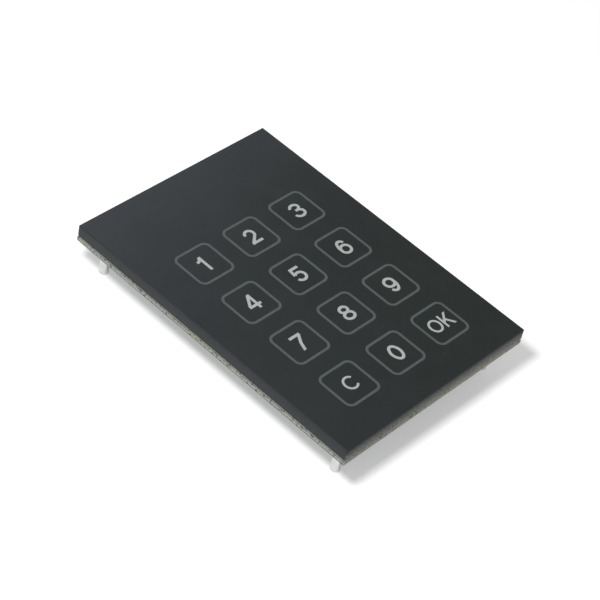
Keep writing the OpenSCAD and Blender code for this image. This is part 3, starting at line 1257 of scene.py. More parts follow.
@dataclass(frozen=True)
class PrintedFace:
    """The panel: its satin face, sawn edges, printed key outlines and the legend on each key."""

    lettering: Lettering = Lettering()
    finishes: tuple[Finish, ...] = (
        SatinAcrylic(),
        # The long edges and the ends are copies of one sawn finish: the ends carry a paler, stronger painted
        # sheen over their lower rim, painted reflection of the bright table, and the long edges a fainter
        # one
        SawnAcrylic(name="sawn_acrylic_side"),
        SawnAcrylic(name="sawn_acrylic_end", ior=1.12, painted_sheen="#9f9e95", painted_sheen_share=1.0),
        SawnAcrylic(name="eased_acrylic", colours=("#303435", "#34383a"), painted_sheen_share=0.0),
    )
    outline_ink: ScreenInk = ScreenInk(name="outline_ink")
    legend_ink: ScreenInk = ScreenInk(name="legend_ink", colours=("#b1b5b4", "#a6aaa9"))
    registration: Pair = (0.16, -0.04)

    def build(self) -> None:
        """Dress the panel and print the legends."""
        dress("front_panel", self.finishes, self.choose)
        dress("key_outlines", (self.outline_ink,))
        face = Box.of("front_panel").high.z
        ink = Box.of("key_outlines").high.z - face
        for legend, key in zip(Legend, solids("key_outlines")):
            strokes: tuple[Stroke, ...] = getattr(self.lettering, legend.value)()
            capital = legend in (Legend.CLEAR, Legend.CONFIRM)
            width = self.lettering.capital_stroke if capital else self.lettering.figure_stroke
            bm = unite(stroke.slab(width, ink) for stroke in strokes)
            place = key.centre.xy + Vector(self.registration)
            bmesh.ops.translate(bm, verts=bm.verts, vec=(*place, face))
            add_piece(f"legend_{legend.name.lower()}", bm, self.legend_ink)

    def choose(self, side: MeshPolygon) -> int:
        """Tell the level faces, the long edges, the ends and the eased rims apart.

        Args:
            side: A face of the mesh.

        Returns:
            Index of its finish.
        """
        if abs(side.normal.z) > UPRIGHT:
            return 0 if abs(side.normal.z) > LEVEL else 3
        return 1 if abs(side.normal.x) > abs(side.normal.y) else 2


@dataclass(frozen=True)
class CutBoard:
    """The bare board: lacquered faces, and edges that were scored on both faces and then snapped.

    The ends take copies of the edge finishes whose colours hold painted light and shade: their flanks are
    paler, their web darker, and they have fewer chips.
    """

    # Colours of the ends' copies, with painted light and shade for how the lamp falls on the ends
    PAINTED_END_TONE: ClassVar[dict[str, Any]] = {"colours": ("#a6a69c", "#8f8f85"), "resin": "#9d9d8a", "chip_from": 0.6}

    finishes: tuple[Finish, ...] = (
        SolderMask(),
        ScoreCut(),
        SnappedLaminate(),
        ScoreCut(name="scored_laminate_end_painted_tone", **PAINTED_END_TONE),
        SnappedLaminate(name="snapped_laminate_end_painted_tone", **PAINTED_END_TONE),
    )

    def build(self) -> None:
        """Dress the board, the film on it, the electrodes in its face and the studs in its corners."""
        dress("circuit_board", self.finishes, self.choose)
        dress("adhesive_sheet", (AdhesiveFilm(),))
        dress("touch_electrodes", (CopperFoil(),))
        for name in nodes("_stud"):
            dress(name, (TurnedNickel(),))

    def choose(self, side: MeshPolygon) -> int:
        """Tell the lacquered faces, the score flanks and the snapped web apart by how far they lean.

        Args:
            side: A face of the mesh.

        Returns:
            Index of its finish.
        """
        lean = abs(side.normal.z)
        if lean > LEVEL:
            return 0
        # Faces that look along Y take the ends' copies, with their painted light and shade
        end = 2 if abs(side.normal.y) > abs(side.normal.x) else 0
        return end + (1 if lean > UPRIGHT else 2)


@dataclass(frozen=True)
class Parts:
    """The electronic parts on the board's back, each in the finish of its own make."""

    bar_inset: float = 0.55

    def build(self) -> None:
        """Dress every part."""
        for name in nodes("_leads", "_straps", "_pins", "_anchors"):
            dress(name, (TinPlate(),))
        for name in nodes("sense_resistor"):
            self.dress_chip(name, Alumina(), ResistorGlaze())
        for name in nodes("sampling_capacitor", "decoupling_capacitor"):
            self.dress_chip(name, CapacitorCeramic(), CapacitorCeramic())
        for name in ("controller_body", "regulator_body", "protector_body"):
            dress(name, (MouldedEpoxy(),))
        dress("connector_housing", (NaturalNylon(),))
        for name in ("input_capacitor", "output_capacitor"):
            bar = Box.of(f"{name}_body").high.y - self.bar_inset
            dress(f"{name}_body", (AmberEpoxy(name=f"{name}_epoxy", bar_middle=bar),))

    @staticmethod
    def dress_chip(name: str, body: Finish, outer: Finish) -> None:
        """Give a chip its tinned ends, its body and its outer face.

        Args:
            name: The chip's node.
            body: Finish of its sides.
            outer: Finish of the face that looks away from the board.
        """
        box = Box.of(name)
        reach = box.size.y / 2 - CAP_LENGTH + 2 * MERGE
        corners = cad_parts[name].data.vertices

        def choose(side: MeshPolygon) -> int:
            """Tell ends, outer face and sides apart.

            Args:
                side: A face of the mesh.

            Returns:
                Index of its finish.
            """
            if any(abs(corners[i].co.y / MM - box.centre.y) > reach for i in side.vertices):
                return 0
            return 2 if side.normal.z < -LEVEL else 1

        dress(name, (TinPlate(), body, outer), choose)


def revolve(bm: BMesh, outline: Sequence[Pair], at: Vector, steps: int) -> None:
    """Turn a closed outline about an upright axis.

    Args:
        bm: The mesh that gets the ring.
        outline: Radius and height of each corner, in order.
        at: Where the axis stands.
        steps: Faces round the ring.
    """
    corners = [bm.verts.new((at.x + radius, at.y, height)) for radius, height in outline]
    edges = [bm.edges.new(pair) for pair in zip(corners, [*corners[1:], corners[0]])]
    bmesh.ops.spin(
        bm, geom=[*corners, *edges], cent=(at.x, at.y, 0), axis=(0, 0, 1), angle=math.tau, steps=steps,
        use_merge=True, use_duplicate=False)


def add_to_back(name: str, bm: BMesh, finish: Finish) -> None:
    """Turn a mesh over, onto the board's back, and finish it as a piece.

    Args:
        name: The piece's name.
        bm: Its mesh, which stands on the XY plane and is freed.
        finish: What it is made of.
    """
    back = Box.of("circuit_board").low.z
    over = Matrix.Translation((0, 0, back)) @ Matrix.Diagonal((1, 1, -1, 1))
    bmesh.ops.transform(bm, matrix=over, verts=bm.verts)
    add_piece(name, bm, finish)


@dataclass(frozen=True)
class SenseRouting:
    """Tracks from the sense resistors, down lanes beside the columns of keys, to a via at each electrode."""

    width: float = 0.2
    bend: float = 0.3
    lane_offset: float = 5.1
    lane_step: float = 0.5
    first_run: float = 0.8
    run_step: float = 0.35
    via_inset: Pair = (4.3, 3.2)
    clear: Pair = (0.4, 0.55)

    @staticmethod
    def grid() -> tuple[list[Vector], list[float]]:
        """Middles of the electrodes, row by row, and where their columns stand along X."""
        keys = [key.centre for key in solids("touch_electrodes")]
        return keys, sorted({round(key.x, 3) for key in keys})

    def place(self) -> Routed:
        """Draw the tracks, each from its resistor to its electrode.

        Returns:
            The flat tracks, and the places of their vias.
        """
        keys, columns = self.grid()
        rows = len(keys) // len(columns)
        tracks, vias = [], []
        for i in range(len(keys)):
            column, row = i // rows, rows - 1 - i % rows
            key = keys[row * len(columns) + column]
            chip = Box.of(f"sense_resistor_{i + 1}")
            lane = key.x - self.lane_offset - self.lane_step * row
            depth = i % rows if lane < chip.centre.x else row
            run = chip.low.y - self.first_run - self.run_step * depth
            via = Vector((key.x - self.via_inset[0], key.y + self.via_inset[1]))
            tracks.append(strip(
                [(chip.centre.x, chip.low.y), (chip.centre.x, run), (lane, run), (lane, via.y), via],
                self.width, self.bend))
            vias.append(via)
        return tracks, vias

    def lanes(self) -> list[Pair]:
        """Find the strips beside the keys that the tracks and vias take up.

        Returns:
            Limits of each strip along X.
        """
        keys, columns = self.grid()
        left = self.lane_offset + self.lane_step * (len(keys) // len(columns) - 1) + self.clear[0]
        return [(x - left, x - self.via_inset[0] + self.clear[1]) for x in columns]


@dataclass(frozen=True)
class SignalRouting:
    """Fine tracks between controller, chips, surge protector and connector."""

    width: float = 0.2
    narrow: float = 0.15
    bend: float = 0.2
    narrow_bend: float = 0.1
    lead_run: float = 0.75
    chip_run: float = 0.4
    first_below: int = 4
    outer_lane: float = 6.65
    lane_step: float = 0.3
    knee: float = 1.1
    knee_step: float = 0.4
    supply_bend: float = 0.3
    lead_past_chip: float = 0.9
    far_inset: float = 0.15
    via_side: float = 1.15
    data_leads: tuple[int, int] = (4, 5)
    data_clear: Pair = (1.25, 1.0)
    data_front: float = 1.4
    data_below: float = 0.6
    protector_vias: Pair = (1.0, 1.2)
    other_pins: tuple[int, ...] = (2, 3, 6)
    via_front: float = 1.15
    pin_reach: float = 1.5

    def place(self) -> Routed:
        """Draw the tracks of all parts.

        Returns:
            The flat tracks, and the places of their vias.
        """
        tracks = [*self.chip_links(), *self.lower_links(), *self.outer_links()]
        vias = []
        for more, ground in (self.decoupling(), self.data_lines(), self.pin_stubs()):
            tracks.extend(more)
            vias.extend(ground)
        return tracks, vias

    @staticmethod
    def pin_feet() -> list[Vector]:
        """Feet of the connector's pins, in order along X."""
        return sorted(feet("connector_pins"), key=lambda foot: foot.x)

    @staticmethod
    def controller_feet(axis: int, side: int) -> list[Vector]:
        """Feet on one side of the controller, in order along that side.

        Args:
            axis: 0 for the sides across X, 1 for those across Y.
            side: -1 for the lower of the two, 1 for the upper.

        Returns:
            The middles of the feet.
        """
        body = Box.of("controller_body")
        found = [foot for foot in feet("controller_leads")
                 if (foot[axis] - body.centre[axis]) * side > body.size[axis] / 2]
        return sorted(found, key=lambda foot: foot[1 - axis])

    def chip_links(self) -> list[BMesh]:
        """Link each sampling capacitor to the sense resistor below it.

        Returns:
            The flat tracks.
        """
        links = []
        for i in range(len(Legend)):
            above, below = Box.of(f"sampling_capacitor_{i + 1}"), Box.of(f"sense_resistor_{i + 1}")
            ends = (above.centre.x, above.low.y), (below.centre.x, below.high.y)
            links.append(strip(ends, self.width, self.bend))
        return links

    def lower_links(self) -> list[BMesh]:
        """Link every other lead of the controller's lower side to the chips under it.

        Returns:
            The flat tracks.
        """
        links = []
        for i, lead in enumerate(self.controller_feet(1, -1)[::2], self.first_below):
            chip = Box.of(f"sampling_capacitor_{i}")
            links.append(strip([
                lead.xy, (lead.x, lead.y - self.lead_run), (chip.centre.x, chip.high.y + self.chip_run),
                (chip.centre.x, chip.high.y)], self.narrow, self.narrow_bend))
        return links

    def outer_links(self) -> list[BMesh]:
        """Link the controller's sides to the outer chips, round its lower corners.

        Returns:
            The flat tracks.
        """
        middle = Box.of("controller_body").centre.x
        links = []
        for side, numbers in ((-1, (3, 2, 1)), (1, (10, 11, 12))):
            for k, (lead, number) in enumerate(zip(self.controller_feet(0, side), numbers)):
                chip = Box.of(f"sampling_capacitor_{number}")
                lane = middle + side * (self.outer_lane + self.lane_step * k)
                knee = chip.high.y + self.knee + self.knee_step * (k - 1)
                if k == 0:
                    way = [(chip.centre.x, lead.y)]
                else:
                    way = [(lane, lead.y), (lane, knee), (chip.centre.x, knee)]
                line = [lead.xy, *way, (chip.centre.x, chip.high.y)]
                links.append(strip(line, self.narrow, self.narrow_bend))
        return links

    def decoupling(self) -> Routed:
        """Link the decoupling capacitors to the controller and to their ground vias.

        Returns:
            The flat tracks, and the places of their vias.
        """
        body = Box.of("controller_body")
        links, vias = [], []
        for chip in map(Box.of, nodes("decoupling_capacitor")):
            side = 1 if chip.centre.x > body.centre.x else -1
            inward = math.copysign(1, body.centre.y - chip.centre.y)
            near = chip.centre.y + inward * chip.size.y / 2
            far = chip.centre.y - inward * (chip.size.y / 2 - self.far_inset)
            leads = [foot for foot in self.controller_feet(0, side)
                     if (foot.y - near) * inward > self.lead_past_chip]
            lead = min(leads, key=lambda foot: abs(foot.y - near))
            via = Vector((chip.centre.x + side * self.via_side, far))
            for line in ([lead.xy, (chip.centre.x, lead.y), (chip.centre.x, near)],
                         [(chip.centre.x, far), via]):
                links.append(strip(line, 2 * self.width, self.supply_bend))
            vias.append(via)
        return links, vias

    def data_lines(self) -> Routed:
        """Lead the data lines from the connector, through the surge protector, to the controller.

        Returns:
            The flat tracks, and the places of their vias.
        """
        both = feet("protector_leads")
        upper, lower = both[:3], both[3:]
        pins = self.pin_feet()
        leads = self.controller_feet(0, 1)
        near, far = (leads[i] for i in self.data_leads)
        left, beside = lower[0].x - self.data_clear[0], upper[2].x + self.data_clear[1]
        front, below = pins[1].y - self.data_front, lower[0].y - self.data_below
        vias = [Vector((upper[1].x, upper[1].y + self.protector_vias[0])),
                Vector((lower[1].x, lower[1].y - self.protector_vias[1]))]
        lines = [
            [pins[1].xy, (pins[1].x, front), (beside, front), (beside, below), (lower[2].x, below),
             lower[2].xy],
            [lower[0].xy, (lower[0].x, below), (left, below), (left, near.y), near.xy],
            [upper[0].xy, (upper[0].x, far.y), far.xy],
            [upper[1].xy, vias[0]],
            [lower[1].xy, vias[1]],
        ]
        first = [upper[2].xy, (upper[2].x, upper[2].y + self.data_below),
                 (pins[0].x, upper[2].y + self.data_clear[1]), pins[0].xy]
        links = [strip(first, self.width, self.narrow_bend)]
        links.extend(strip(line, self.width, self.bend) for line in lines)
        return links, vias

    def pin_stubs(self) -> Routed:
        """Lead the connector's other pins to vias in front of them.

        Returns:
            The flat tracks, and the places of their vias.
        """
        pins = self.pin_feet()
        front = Box.of("connector_pins").low.y - self.via_front
        vias = [Vector((pins[i].x, front)) for i in self.other_pins]
        return [strip([(via.x, front + self.pin_reach), via], self.width, self.bend) for via in vias], vias


@dataclass(frozen=True)
class SupplyRouting:
    """Wide tracks of the supply: connector, input capacitor, regulator and output capacitor."""

    width: float = 0.8
    stub: float = 0.5
    bend: float = 0.5
    tab_bend: float = 0.45
    pin_inset: float = 0.25
    pin_run: float = 1.4
    capacitor_run: float = 0.65
    tab_run: float = 0.75
    lead_inset: float = 0.2
    overlap: float = 0.1
    stub_reach: float = 1.3
    lead_stub_reach: float = 1.7

    def place(self) -> Routed:
        """Draw the tracks between the supply's parts, and a stub to each ground via.

        Returns:
            The flat tracks, and the places of their vias.
        """
        pins, source, output = (Box.of(name) for name in (
            "connector_pins", "input_capacitor_straps", "output_capacitor_straps"))
        body = Box.of("regulator_body")
        tab, left, _, right = feet("regulator_leads")
        last, knee = pins.high.x - self.pin_inset, pins.low.y - self.pin_run
        gap = (body.high.x + Box.of("input_capacitor_body").low.x) / 2
        top, across = source.high.y + self.capacitor_run, body.high.y + self.tab_run
        inside, end = right.y + self.lead_inset, output.high.y - self.overlap
        source_x, output_x = source.centre.x, output.centre.x
        tracks = [strip(line, self.width, bend) for line, bend in (
            ([(last, pins.low.y), (last, knee), (source_x, knee), (source_x, source.high.y)], self.bend),
            ([(source_x, top), (gap, top), (gap, inside), (right.x, inside)], self.bend),
            ([(tab.x, across), (output_x, across), (output_x, end)], self.tab_bend),
        )]
        vias = []
        for start, reach in (
            (left.xy, self.lead_stub_reach),
            (Vector((source_x, source.low.y)), self.stub_reach),
            (Vector((output_x, output.low.y)), self.stub_reach),
        ):
            vias.append(start - Vector((0, reach)))
            tracks.append(strip([start, vias[-1]], self.stub, self.bend))
        return tracks, vias


@dataclass(frozen=True)
class GroundHatch:
    """Crossed lines of ground copper on the back, left out along the lanes of the sense tracks."""

    pitch: float = 1.5
    line: float = 0.2
    margin: float = 1.1
    below_parts: float = 2.2
    stud_clear: float = 3.5
    least_cell: float = 0.35

    def model(self, lanes: Sequence[Pair]) -> BMesh:
        """Draw the hatch.

        Args:
            lanes: Limits along X of the strips that stay free.

        Returns:
            The flat hatch on the XY plane.
        """
        board = Box.of("circuit_board")
        x0, x1 = board.low.x + self.margin, board.high.x - self.margin
        y0, y1 = board.low.y + self.margin, Box.of("sense_resistor_1").low.y - self.below_parts
        studs = [stud.centre for stud in map(Box.of, nodes("_stud"))]
        count = math.ceil((x1 - x0 + y1 - y0) / math.sqrt(2) / self.pitch)
        middle = Matrix.Translation(((x0 + x1) / 2, (y0 + y1) / 2, 0))
        bm = bmesh.new()
        bmesh.ops.create_grid(
            bm, x_segments=count, y_segments=count, size=count * self.pitch / 2,
            matrix=middle @ Matrix.Rotation(math.radians(45), 4, "Z"))
        for x in (x0, x1, *(limit for lane in lanes for limit in lane)):
            cut(bm, (x, 0), (1, 0))
        for y in (y0, y1):
            cut(bm, (0, y), (0, 1))

        def bare(face: BMFace) -> bool:
            """Tell whether a cell lies where the board keeps no copper.

            Args:
                face: A cell of the grid.

            Returns:
                Whether it goes.
            """
            at = face.calc_center_median()
            return (not (x0 < at.x < x1 and y0 < at.y < y1) or any(low < at.x < high for low, high in lanes)
                    or any((at.xy - stud.xy).length < self.stud_clear for stud in studs))

        bmesh.ops.delete(bm, geom=[face for face in bm.faces if bare(face)], context="FACES")
        cells = [face for face in bm.faces if face.calc_area() > self.least_cell * self.pitch ** 2]
        bmesh.ops.inset_individual(bm, faces=cells, thickness=self.line / 2, use_even_offset=True)
        bmesh.ops.delete(bm, geom=cells, context="FACES")
        return bm


@dataclass(frozen=True)
class Copper:
    """All copper under the lacquer of the board's back."""

    height: float = 0.035
    via_radii: Pair = (0.12, 0.35)
    via_slope: float = 0.05
    via_height: float = 0.05
    via_steps: int = 16
    finish: MaskedCopper = MaskedCopper()

    def build(self) -> None:
        """Lay tracks, hatch and vias."""
        sense = SenseRouting()
        places = []
        for name, routing in (
            ("sense_tracks", sense), ("signal_tracks", SignalRouting()), ("supply_tracks", SupplyRouting()),
        ):
            tracks, vias = routing.place()
            for track in tracks:
                thicken(track, self.height)
            add_to_back(name, gather(tracks), self.finish)
            places.extend(vias)
        hatch = GroundHatch().model(sense.lanes())
        thicken(hatch, self.height)
        add_to_back("ground_hatch", hatch, self.finish)
        self.lay_vias(places)

    def lay_vias(self, places: Iterable[Vector]) -> None:
        """Lay a lacquered ring with a dimple in its middle at each place.

        Args:
            places: Where the vias stand.
        """
        (hole, rim), slope, top = self.via_radii, self.via_slope, self.via_height
        outline = ((hole, 0), (hole + slope, top), (rim - slope, top), (rim, 0))
        bm = bmesh.new()
        for place in places:
            revolve(bm, outline, place, self.via_steps)
        add_to_back("vias", bm, self.finish)


@dataclass(frozen=True)
class SolderJoint:
    """Solder that climbs in a hollow curve from a tinned pad's rim to the metal that stands on it."""

    toe: float
    heel: float
    side: float
    height: float
    pad: float = 0.05
    corner: float = 0.12
    corner_share: float = 0.3
    inside: float = 0.02
    steps: int = 4

    def model(self, patch: Box, body: Box) -> BMesh:
        """Model one joint.

        Args:
            patch: Where the metal lies on the board.
            body: The body that the metal comes out of.

        Returns:
            The closed joint, standing on the XY plane.
        """
        overhangs = {
            (0, 1): patch.high.x - body.high.x, (0, -1): body.low.x - patch.low.x,
            (1, 1): patch.high.y - body.high.y, (1, -1): body.low.y - patch.low.y,
        }
        axis, sense = max(overhangs, key=lambda way: overhangs[way])
        low, high = patch.low.xy, patch.high.xy
        if sense > 0:
            low[axis] = max(low[axis], body.high[axis])
        else:
            high[axis] = min(high[axis], body.low[axis])
        pad_low, pad_high = low.copy(), high.copy()
        pad_low[axis] -= self.heel if sense > 0 else self.toe
        pad_high[axis] += self.toe if sense > 0 else self.heel
        pad_low[1 - axis] -= self.side
        pad_high[1 - axis] += self.side
        more = Vector((self.inside, self.inside))
        return self.climb(pad_low, pad_high, low + more, high - more)

    def climb(self, pad_low: Vector, pad_high: Vector, low: Vector, high: Vector) -> BMesh:
        """Raise a pad's rounded outline, and draw it in along a quarter circle.

        Args:
            pad_low: Lowest corner of the pad.
            pad_high: Highest corner of the pad.
            low: Lowest corner of the outline at the top.
            high: Highest corner of the outline at the top.

        Returns:
            The closed joint.
        """
        bm = bmesh.new()
        size, middle = pad_high - pad_low, (pad_low + pad_high) / 2
        bmesh.ops.create_grid(bm, x_segments=1, y_segments=1, size=0.5)
        bmesh.ops.scale(bm, vec=(*size, 1), verts=bm.verts)
        bmesh.ops.translate(bm, vec=(*middle, 0), verts=bm.verts)
        bmesh.ops.bevel(
            bm, geom=bm.verts[:], offset=min(self.corner, self.corner_share * min(size)), affect="VERTICES",
            segments=2, profile=0.5, material=-1)
        top, level = bm.faces[:], 0.0
        for step in range(self.steps + 1):
            angle = step / self.steps * math.pi / 2
            new_low, new_high = (a.lerp(b, math.sin(angle)) for a, b in ((pad_low, low), (pad_high, high)))
            new_size, new_middle = new_high - new_low, (new_low + new_high) / 2
            new_level = self.pad + (self.height - self.pad) * (1 - math.cos(angle))
            grown = bmesh.ops.extrude_face_region(bm, geom=top)["geom"]
            if step:
                bmesh.ops.delete(bm, geom=top, context="FACES_ONLY")
            ring, top = only_verts(grown), [part for part in grown if isinstance(part, BMFace)]
            bmesh.ops.scale(
                bm, vec=(new_size.x / size.x, new_size.y / size.y, 1), verts=ring,
                space=Matrix.Translation((-middle.x, -middle.y, 0)))
            bmesh.ops.translate(bm, vec=(*(new_middle - middle), new_level - level), verts=ring)
            size, middle, level = new_size, new_middle, new_level
        return bm


@dataclass(frozen=True)
class Soldering:
    """Solder at every foot on the board's back, and round each stud's collar."""

    lead: SolderJoint = SolderJoint(toe=0.35, heel=0.3, side=0.04, height=0.135)
    tab: SolderJoint = SolderJoint(toe=0.4, heel=0.3, side=0.2, height=0.25)
    strap: SolderJoint = SolderJoint(toe=0.5, heel=0.0, side=0.15, height=0.5)
    pin: SolderJoint = SolderJoint(toe=0.45, heel=0.0, side=0.25, height=0.27)
    chip: SolderJoint = SolderJoint(toe=0.35, heel=0.1, side=0.05, height=0.4)
    stud_rim: float = 2.95
    stud_top: float = 2.22
    stud_height: float = 0.55
    stud_steps: int = 40
    hollow_steps: int = 6
    finish: Solder = Solder()

    def build(self) -> None:
        """Solder everything."""
        for name, leads, body, joint in (
            ("controller_solder", "controller_leads", "controller_body", self.lead),
            ("protector_solder", "protector_leads", "protector_body", self.lead),
            ("regulator_solder", "regulator_leads", "regulator_body", self.tab),
            ("input_capacitor_solder", "input_capacitor_straps", "input_capacitor_body", self.strap),
            ("output_capacitor_solder", "output_capacitor_straps", "output_capacitor_body", self.strap),
            ("pin_solder", "connector_pins", "connector_housing", self.pin),
            ("anchor_solder", "connector_anchors", "connector_housing", self.pin),
        ):
            around = Box.of(body)
            add_to_back(name, gather(joint.model(patch, around) for patch in contacts(leads)), self.finish)
        self.solder_chips()
        self.solder_studs()

    def solder_chips(self) -> None:
        """Solder both ends of every chip."""
        joints = []
        for chip in map(Box.of, nodes("sense_resistor", "sampling_capacitor", "decoupling_capacitor")):
            body = chip.grown(0, -CAP_LENGTH)
            for low, high in ((chip.low.y, body.low.y), (body.high.y, chip.high.y)):
                end = Box(Vector((chip.low.x, low, 0)), Vector((chip.high.x, high, 0)))
                joints.append(self.chip.model(end, body))
        add_to_back("chip_solder", gather(joints), self.finish)

    def solder_studs(self) -> None:
        """Turn a hollow fillet round the collar of each stud."""
        depth, rise = self.stud_rim - self.stud_top, self.stud_height - self.lead.pad
        angles = [math.radians(90 * i / self.hollow_steps) for i in range(self.hollow_steps + 1)]
        hollow = [(self.stud_rim - depth * math.sin(angle), self.lead.pad + rise * (1 - math.cos(angle)))
                  for angle in angles]
        outline = [(self.stud_top, 0), (self.stud_rim, 0), *hollow]
        bm = bmesh.new()
        for stud in map(Box.of, nodes("_stud")):
            revolve(bm, outline, stud.centre, self.stud_steps)
        add_to_back("stud_solder", bm, self.finish)


@dataclass(frozen=True)
class Marking:
    """White outlines that show where each part goes on the board's back."""

    width: float = 0.15
    height: float = 0.02
    gap: float = 0.4
    narrow_gap: float = 0.25
    corner: float = 1.2
    dot: float = 0.3
    dot_steps: int = 16
    shroud_return: float = 1.0
    shroud_front: Pair = (1.6, 0.9)
    slant: float = 0.5
    bar_inset: float = 0.2
    finish: LegendWhite = LegendWhite()

    def build(self) -> None:
        """Print all marks as one piece."""
        marks = [*self.controller(), *self.connector(), *self.tanks(), *self.regulator(), *self.chips()]
        for mark in marks:
            thicken(mark, self.height)
        add_to_back("part_outlines", gather(marks), self.finish)

    def line(self, *points: Pair) -> BMesh:
        """Draw a line with sharp-looking corners."""
        return strip(points, self.width, self.width)

    def controller(self) -> list[BMesh]:
        """Mark the corners between the controller's rows of leads, with a dot at its first lead.

        Returns:
            The flat marks.
        """
        body = Box.of("controller_body").grown(self.gap, self.gap)
        marks = []
        for sx, sy in ((-1, 1), (1, 1), (1, -1)):
            x, y = body.centre.x + sx * body.size.x / 2, body.centre.y + sy * body.size.y / 2
            marks.append(self.line((x - sx * self.corner, y), (x, y), (x, y - sy * self.corner)))
        dot = bmesh.new()
        bmesh.ops.create_circle(dot, cap_ends=True, segments=self.dot_steps, radius=self.dot)
        bmesh.ops.translate(dot, verts=dot.verts, vec=(body.low.x, body.low.y, 0))
        return [*marks, dot]

    def connector(self) -> list[BMesh]:
        """Draw a line round the back of the connector's shroud, and its front corners.

        Returns:
            The flat marks.
        """
        body = Box.of("connector_housing").grown(self.gap, self.gap)
        (x0, y0), (x1, y1) = body.low.xy, body.high.xy
        turn, (along, up) = y1 - self.shroud_return, self.shroud_front
        fronts = [self.line((x, y0 + up), (x, y0), (x + way, y0)) for x, way in ((x0, along), (x1, -along))]
        return [self.line((x0, turn), (x0, y1), (x1, y1), (x1, turn)), *fronts]

    def tanks(self) -> list[BMesh]:
        """Draw lines beside the supply capacitors that close in at the marked end.

        Returns:
            The flat marks.
        """
        marks = []
        for name in ("input_capacitor", "output_capacitor"):
            body = Box.of(f"{name}_body").grown(self.gap, 0)
            knee = body.high.y + self.slant
            for x, way in ((body.low.x, self.slant), (body.high.x, -self.slant)):
                marks.append(self.line((x, body.low.y), (x, knee), (x + way, knee + self.gap)))
        return marks

    def regulator(self) -> list[BMesh]:
        """Lines at both ends of the regulator."""
        body = Box.of("regulator_body").grown(self.narrow_gap, 0)
        return [self.line((x, body.low.y), (x, body.high.y)) for x in (body.low.x, body.high.x)]

    def chips(self) -> list[BMesh]:
        """Draw bars between neighbouring chips of a row.

        Returns:
            The flat marks.
        """
        marks = []
        for row in ("sense_resistor", "sampling_capacitor"):
            boxes = [Box.of(f"{row}_{i + 1}").grown(0, -self.bar_inset) for i in range(len(Legend))]
            step = (boxes[1].centre.x - boxes[0].centre.x) / 2
            y0, y1 = boxes[0].low.y, boxes[0].high.y
            places = [boxes[0].centre.x - step, *(box.centre.x + step for box in boxes)]
            marks.extend(self.line((x, y0), (x, y1)) for x in places)
        return marks


@dataclass(frozen=True)
class Glow:
    """A soft patch of sky light round one direction, whole within its inner angle."""

    azimuth: float
    elevation: float
    inner: float
    outer: float
    colour: Triple

    def direction(self) -> Vector:
        """Work out the direction of the patch's middle.

        Returns:
            A vector of length 1.
        """
        azimuth, elevation = math.radians(self.azimuth), math.radians(self.elevation)
        return Vector((math.cos(azimuth) * math.cos(elevation), math.sin(azimuth) * math.cos(elevation),
                       math.sin(elevation)))


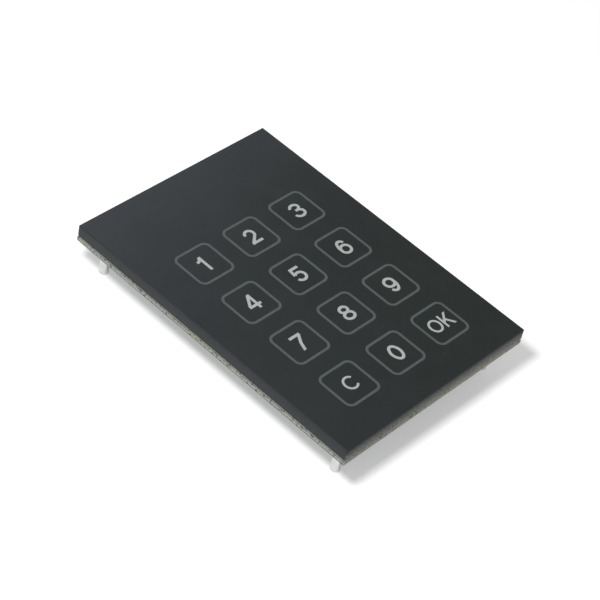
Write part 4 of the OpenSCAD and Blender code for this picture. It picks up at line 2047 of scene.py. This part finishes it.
@dataclass(frozen=True)
class Studio:
    """White table, soft overhead light and the camera at the photograph's place."""

    camera_at: Triple = (-278.57, -192.32, 331.16)
    aim_at: Triple = (-5.65, -4.83, 13.75)
    camera_roll: float = 13.67
    lens: float = 122.6
    sensor: float = 36.0
    floor_half: float = 2000.0
    floor_gap: float = 0.02
    floor_albedo: float = 0.76
    floor_glow: Triple = (0.361, 0.353, 0.358)
    lamp_at: Triple = (-172.0, -20.0, 284.0)
    lamp_radius: float = 32.0
    lamp_power: float = 31.0
    sky: Triple = (0.345, 0.35, 0.35)
    glows: tuple[Glow, ...] = (
        Glow(azimuth=57.0, elevation=25.5, inner=16.0, outer=24.2, colour=(0.82, 0.84, 1.06)),
        Glow(azimuth=64.0, elevation=61.0, inner=18.0, outer=27.0, colour=(0.3, 0.31, 0.41)),
    )

    def build(self) -> None:
        """Set up the camera, the floor and the light."""
        bpy.context.scene.view_settings.view_transform = "Standard"
        self.place_camera()
        self.lay_floor()
        self.hang_lamp()
        self.light_sky()

    def place_camera(self) -> None:
        """Put the camera where the photograph was taken from."""
        lens = bpy.data.cameras.new("camera")
        lens.lens = self.lens
        lens.sensor_width = self.sensor
        camera = show("camera", lens)
        at, aim = Vector(self.camera_at) * MM, Vector(self.aim_at) * MM
        turn = (aim - at).to_track_quat("-Z", "Y").to_matrix()
        roll = Matrix.Rotation(math.radians(self.camera_roll), 3, "Z")
        camera.matrix_world = Matrix.Translation(at) @ (turn @ roll).to_4x4()
        bpy.context.scene.camera = camera

    def lay_floor(self) -> None:
        """Lay a white table that keeps the shadow, and that a view from below sees through."""
        material = bpy.data.materials.new("light_table")
        tree = empty_tree(material)
        path = add_node(tree, "ShaderNodeLightPath").outputs
        seen = path["Is Camera Ray"]
        for ray in ("Is Glossy Ray", "Is Transmission Ray"):
            seen = add_node(tree, "ShaderNodeMath", {0: seen, 1: path[ray]}, use_clamp=True).outputs["Value"]
        glow = add_node(tree, "ShaderNodeEmission", {"Color": (*self.floor_glow, 1.0), "Strength": seen})
        paint = add_node(tree, "ShaderNodeBsdfDiffuse", {"Color": (*(self.floor_albedo,) * 3, 1.0)})
        top = add_node(tree, "ShaderNodeAddShader", {0: paint.outputs["BSDF"], 1: glow.outputs["Emission"]})
        clear = add_node(tree, "ShaderNodeBsdfTransparent")
        side = add_node(tree, "ShaderNodeNewGeometry").outputs["Backfacing"]
        both = add_node(tree, "ShaderNodeMixShader", {
            0: side, 1: top.outputs["Shader"], 2: clear.outputs["BSDF"]})
        add_node(tree, "ShaderNodeOutputMaterial", {"Surface": both.outputs["Shader"]})
        bm = bmesh.new()
        bmesh.ops.create_grid(bm, x_segments=1, y_segments=1, size=self.floor_half * MM)
        bmesh.ops.translate(bm, verts=bm.verts, vec=(0, 0, -self.floor_gap * MM))
        floor = show("floor", settle("floor", bm))
        floor.data.materials.append(material)
        floor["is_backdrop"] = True

    def hang_lamp(self) -> None:
        """Hang a soft round lamp near the keypad, as bright at the far side of the table as below it."""
        lamp = bpy.data.lights.new("key_lamp", "POINT")
        lamp.energy = self.lamp_power
        lamp.shadow_soft_size = self.lamp_radius * MM
        tree = empty_tree(lamp)
        falloff = add_node(tree, "ShaderNodeLightFalloff", {"Strength": 1.0})
        glow = add_node(tree, "ShaderNodeEmission", {"Strength": falloff.outputs["Constant"]})
        add_node(tree, "ShaderNodeOutputLight", {"Surface": glow.outputs["Emission"]})
        show("key_lamp", lamp).location = Vector(self.lamp_at) * MM

    def light_sky(self) -> None:
        """Light the room evenly, with soft patches that only show in gloss, such as the panel's."""
        world = bpy.data.worlds.new("room")
        tree = empty_tree(world)
        towards = add_node(tree, "ShaderNodeTexCoord").outputs["Generated"]
        path = add_node(tree, "ShaderNodeLightPath").outputs
        light: Any = (*self.sky, 1.0)
        for patch in self.glows:
            beside = add_node(tree, "ShaderNodeVectorMath", {
                0: towards, 1: patch.direction()}, operation="DOT_PRODUCT").outputs["Value"]
            near = add_node(tree, "ShaderNodeMapRange", {
                "Value": beside, "From Min": math.cos(math.radians(patch.outer)),
                "From Max": math.cos(math.radians(patch.inner)),
            }, interpolation_type="SMOOTHSTEP").outputs["Result"]
            mirrored = add_node(tree, "ShaderNodeMath", {
                0: near, 1: path["Is Glossy Ray"]}, operation="MULTIPLY").outputs["Value"]
            light = add_node(tree, "ShaderNodeMix", {
                MIX_FACTOR: mirrored, MIX_A: light, MIX_B: (*patch.colour, 1.0),
            }, data_type="RGBA", blend_type="ADD").outputs[MIX_COLOUR]
        light = add_node(tree, "ShaderNodeMix", {
            MIX_FACTOR: path["Is Camera Ray"], MIX_A: light, MIX_B: linear("#ffffff"),
        }, data_type="RGBA").outputs[MIX_COLOUR]
        sky = add_node(tree, "ShaderNodeBackground", {"Color": light})
        add_node(tree, "ShaderNodeOutputWorld", {"Surface": sky.outputs["Background"]})
        bpy.context.scene.world = world


def main() -> None:
    """Build the studio and every part of the keypad, and work out the boxes round the CAD parts and round
    all that is shown.
    """
    logging.basicConfig(level=logging.INFO, format="%(message)s")
    for part in (Studio(), PrintedFace(), CutBoard(), Parts(), Copper(), Soldering(), Marking()):
        part.build()
    boxes = {"cad": cad_bounds, "visual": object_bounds()}
    {name: [list(corner) for corner in box] for name, box in boxes.items()}


if __name__ == "__main__":
    main()
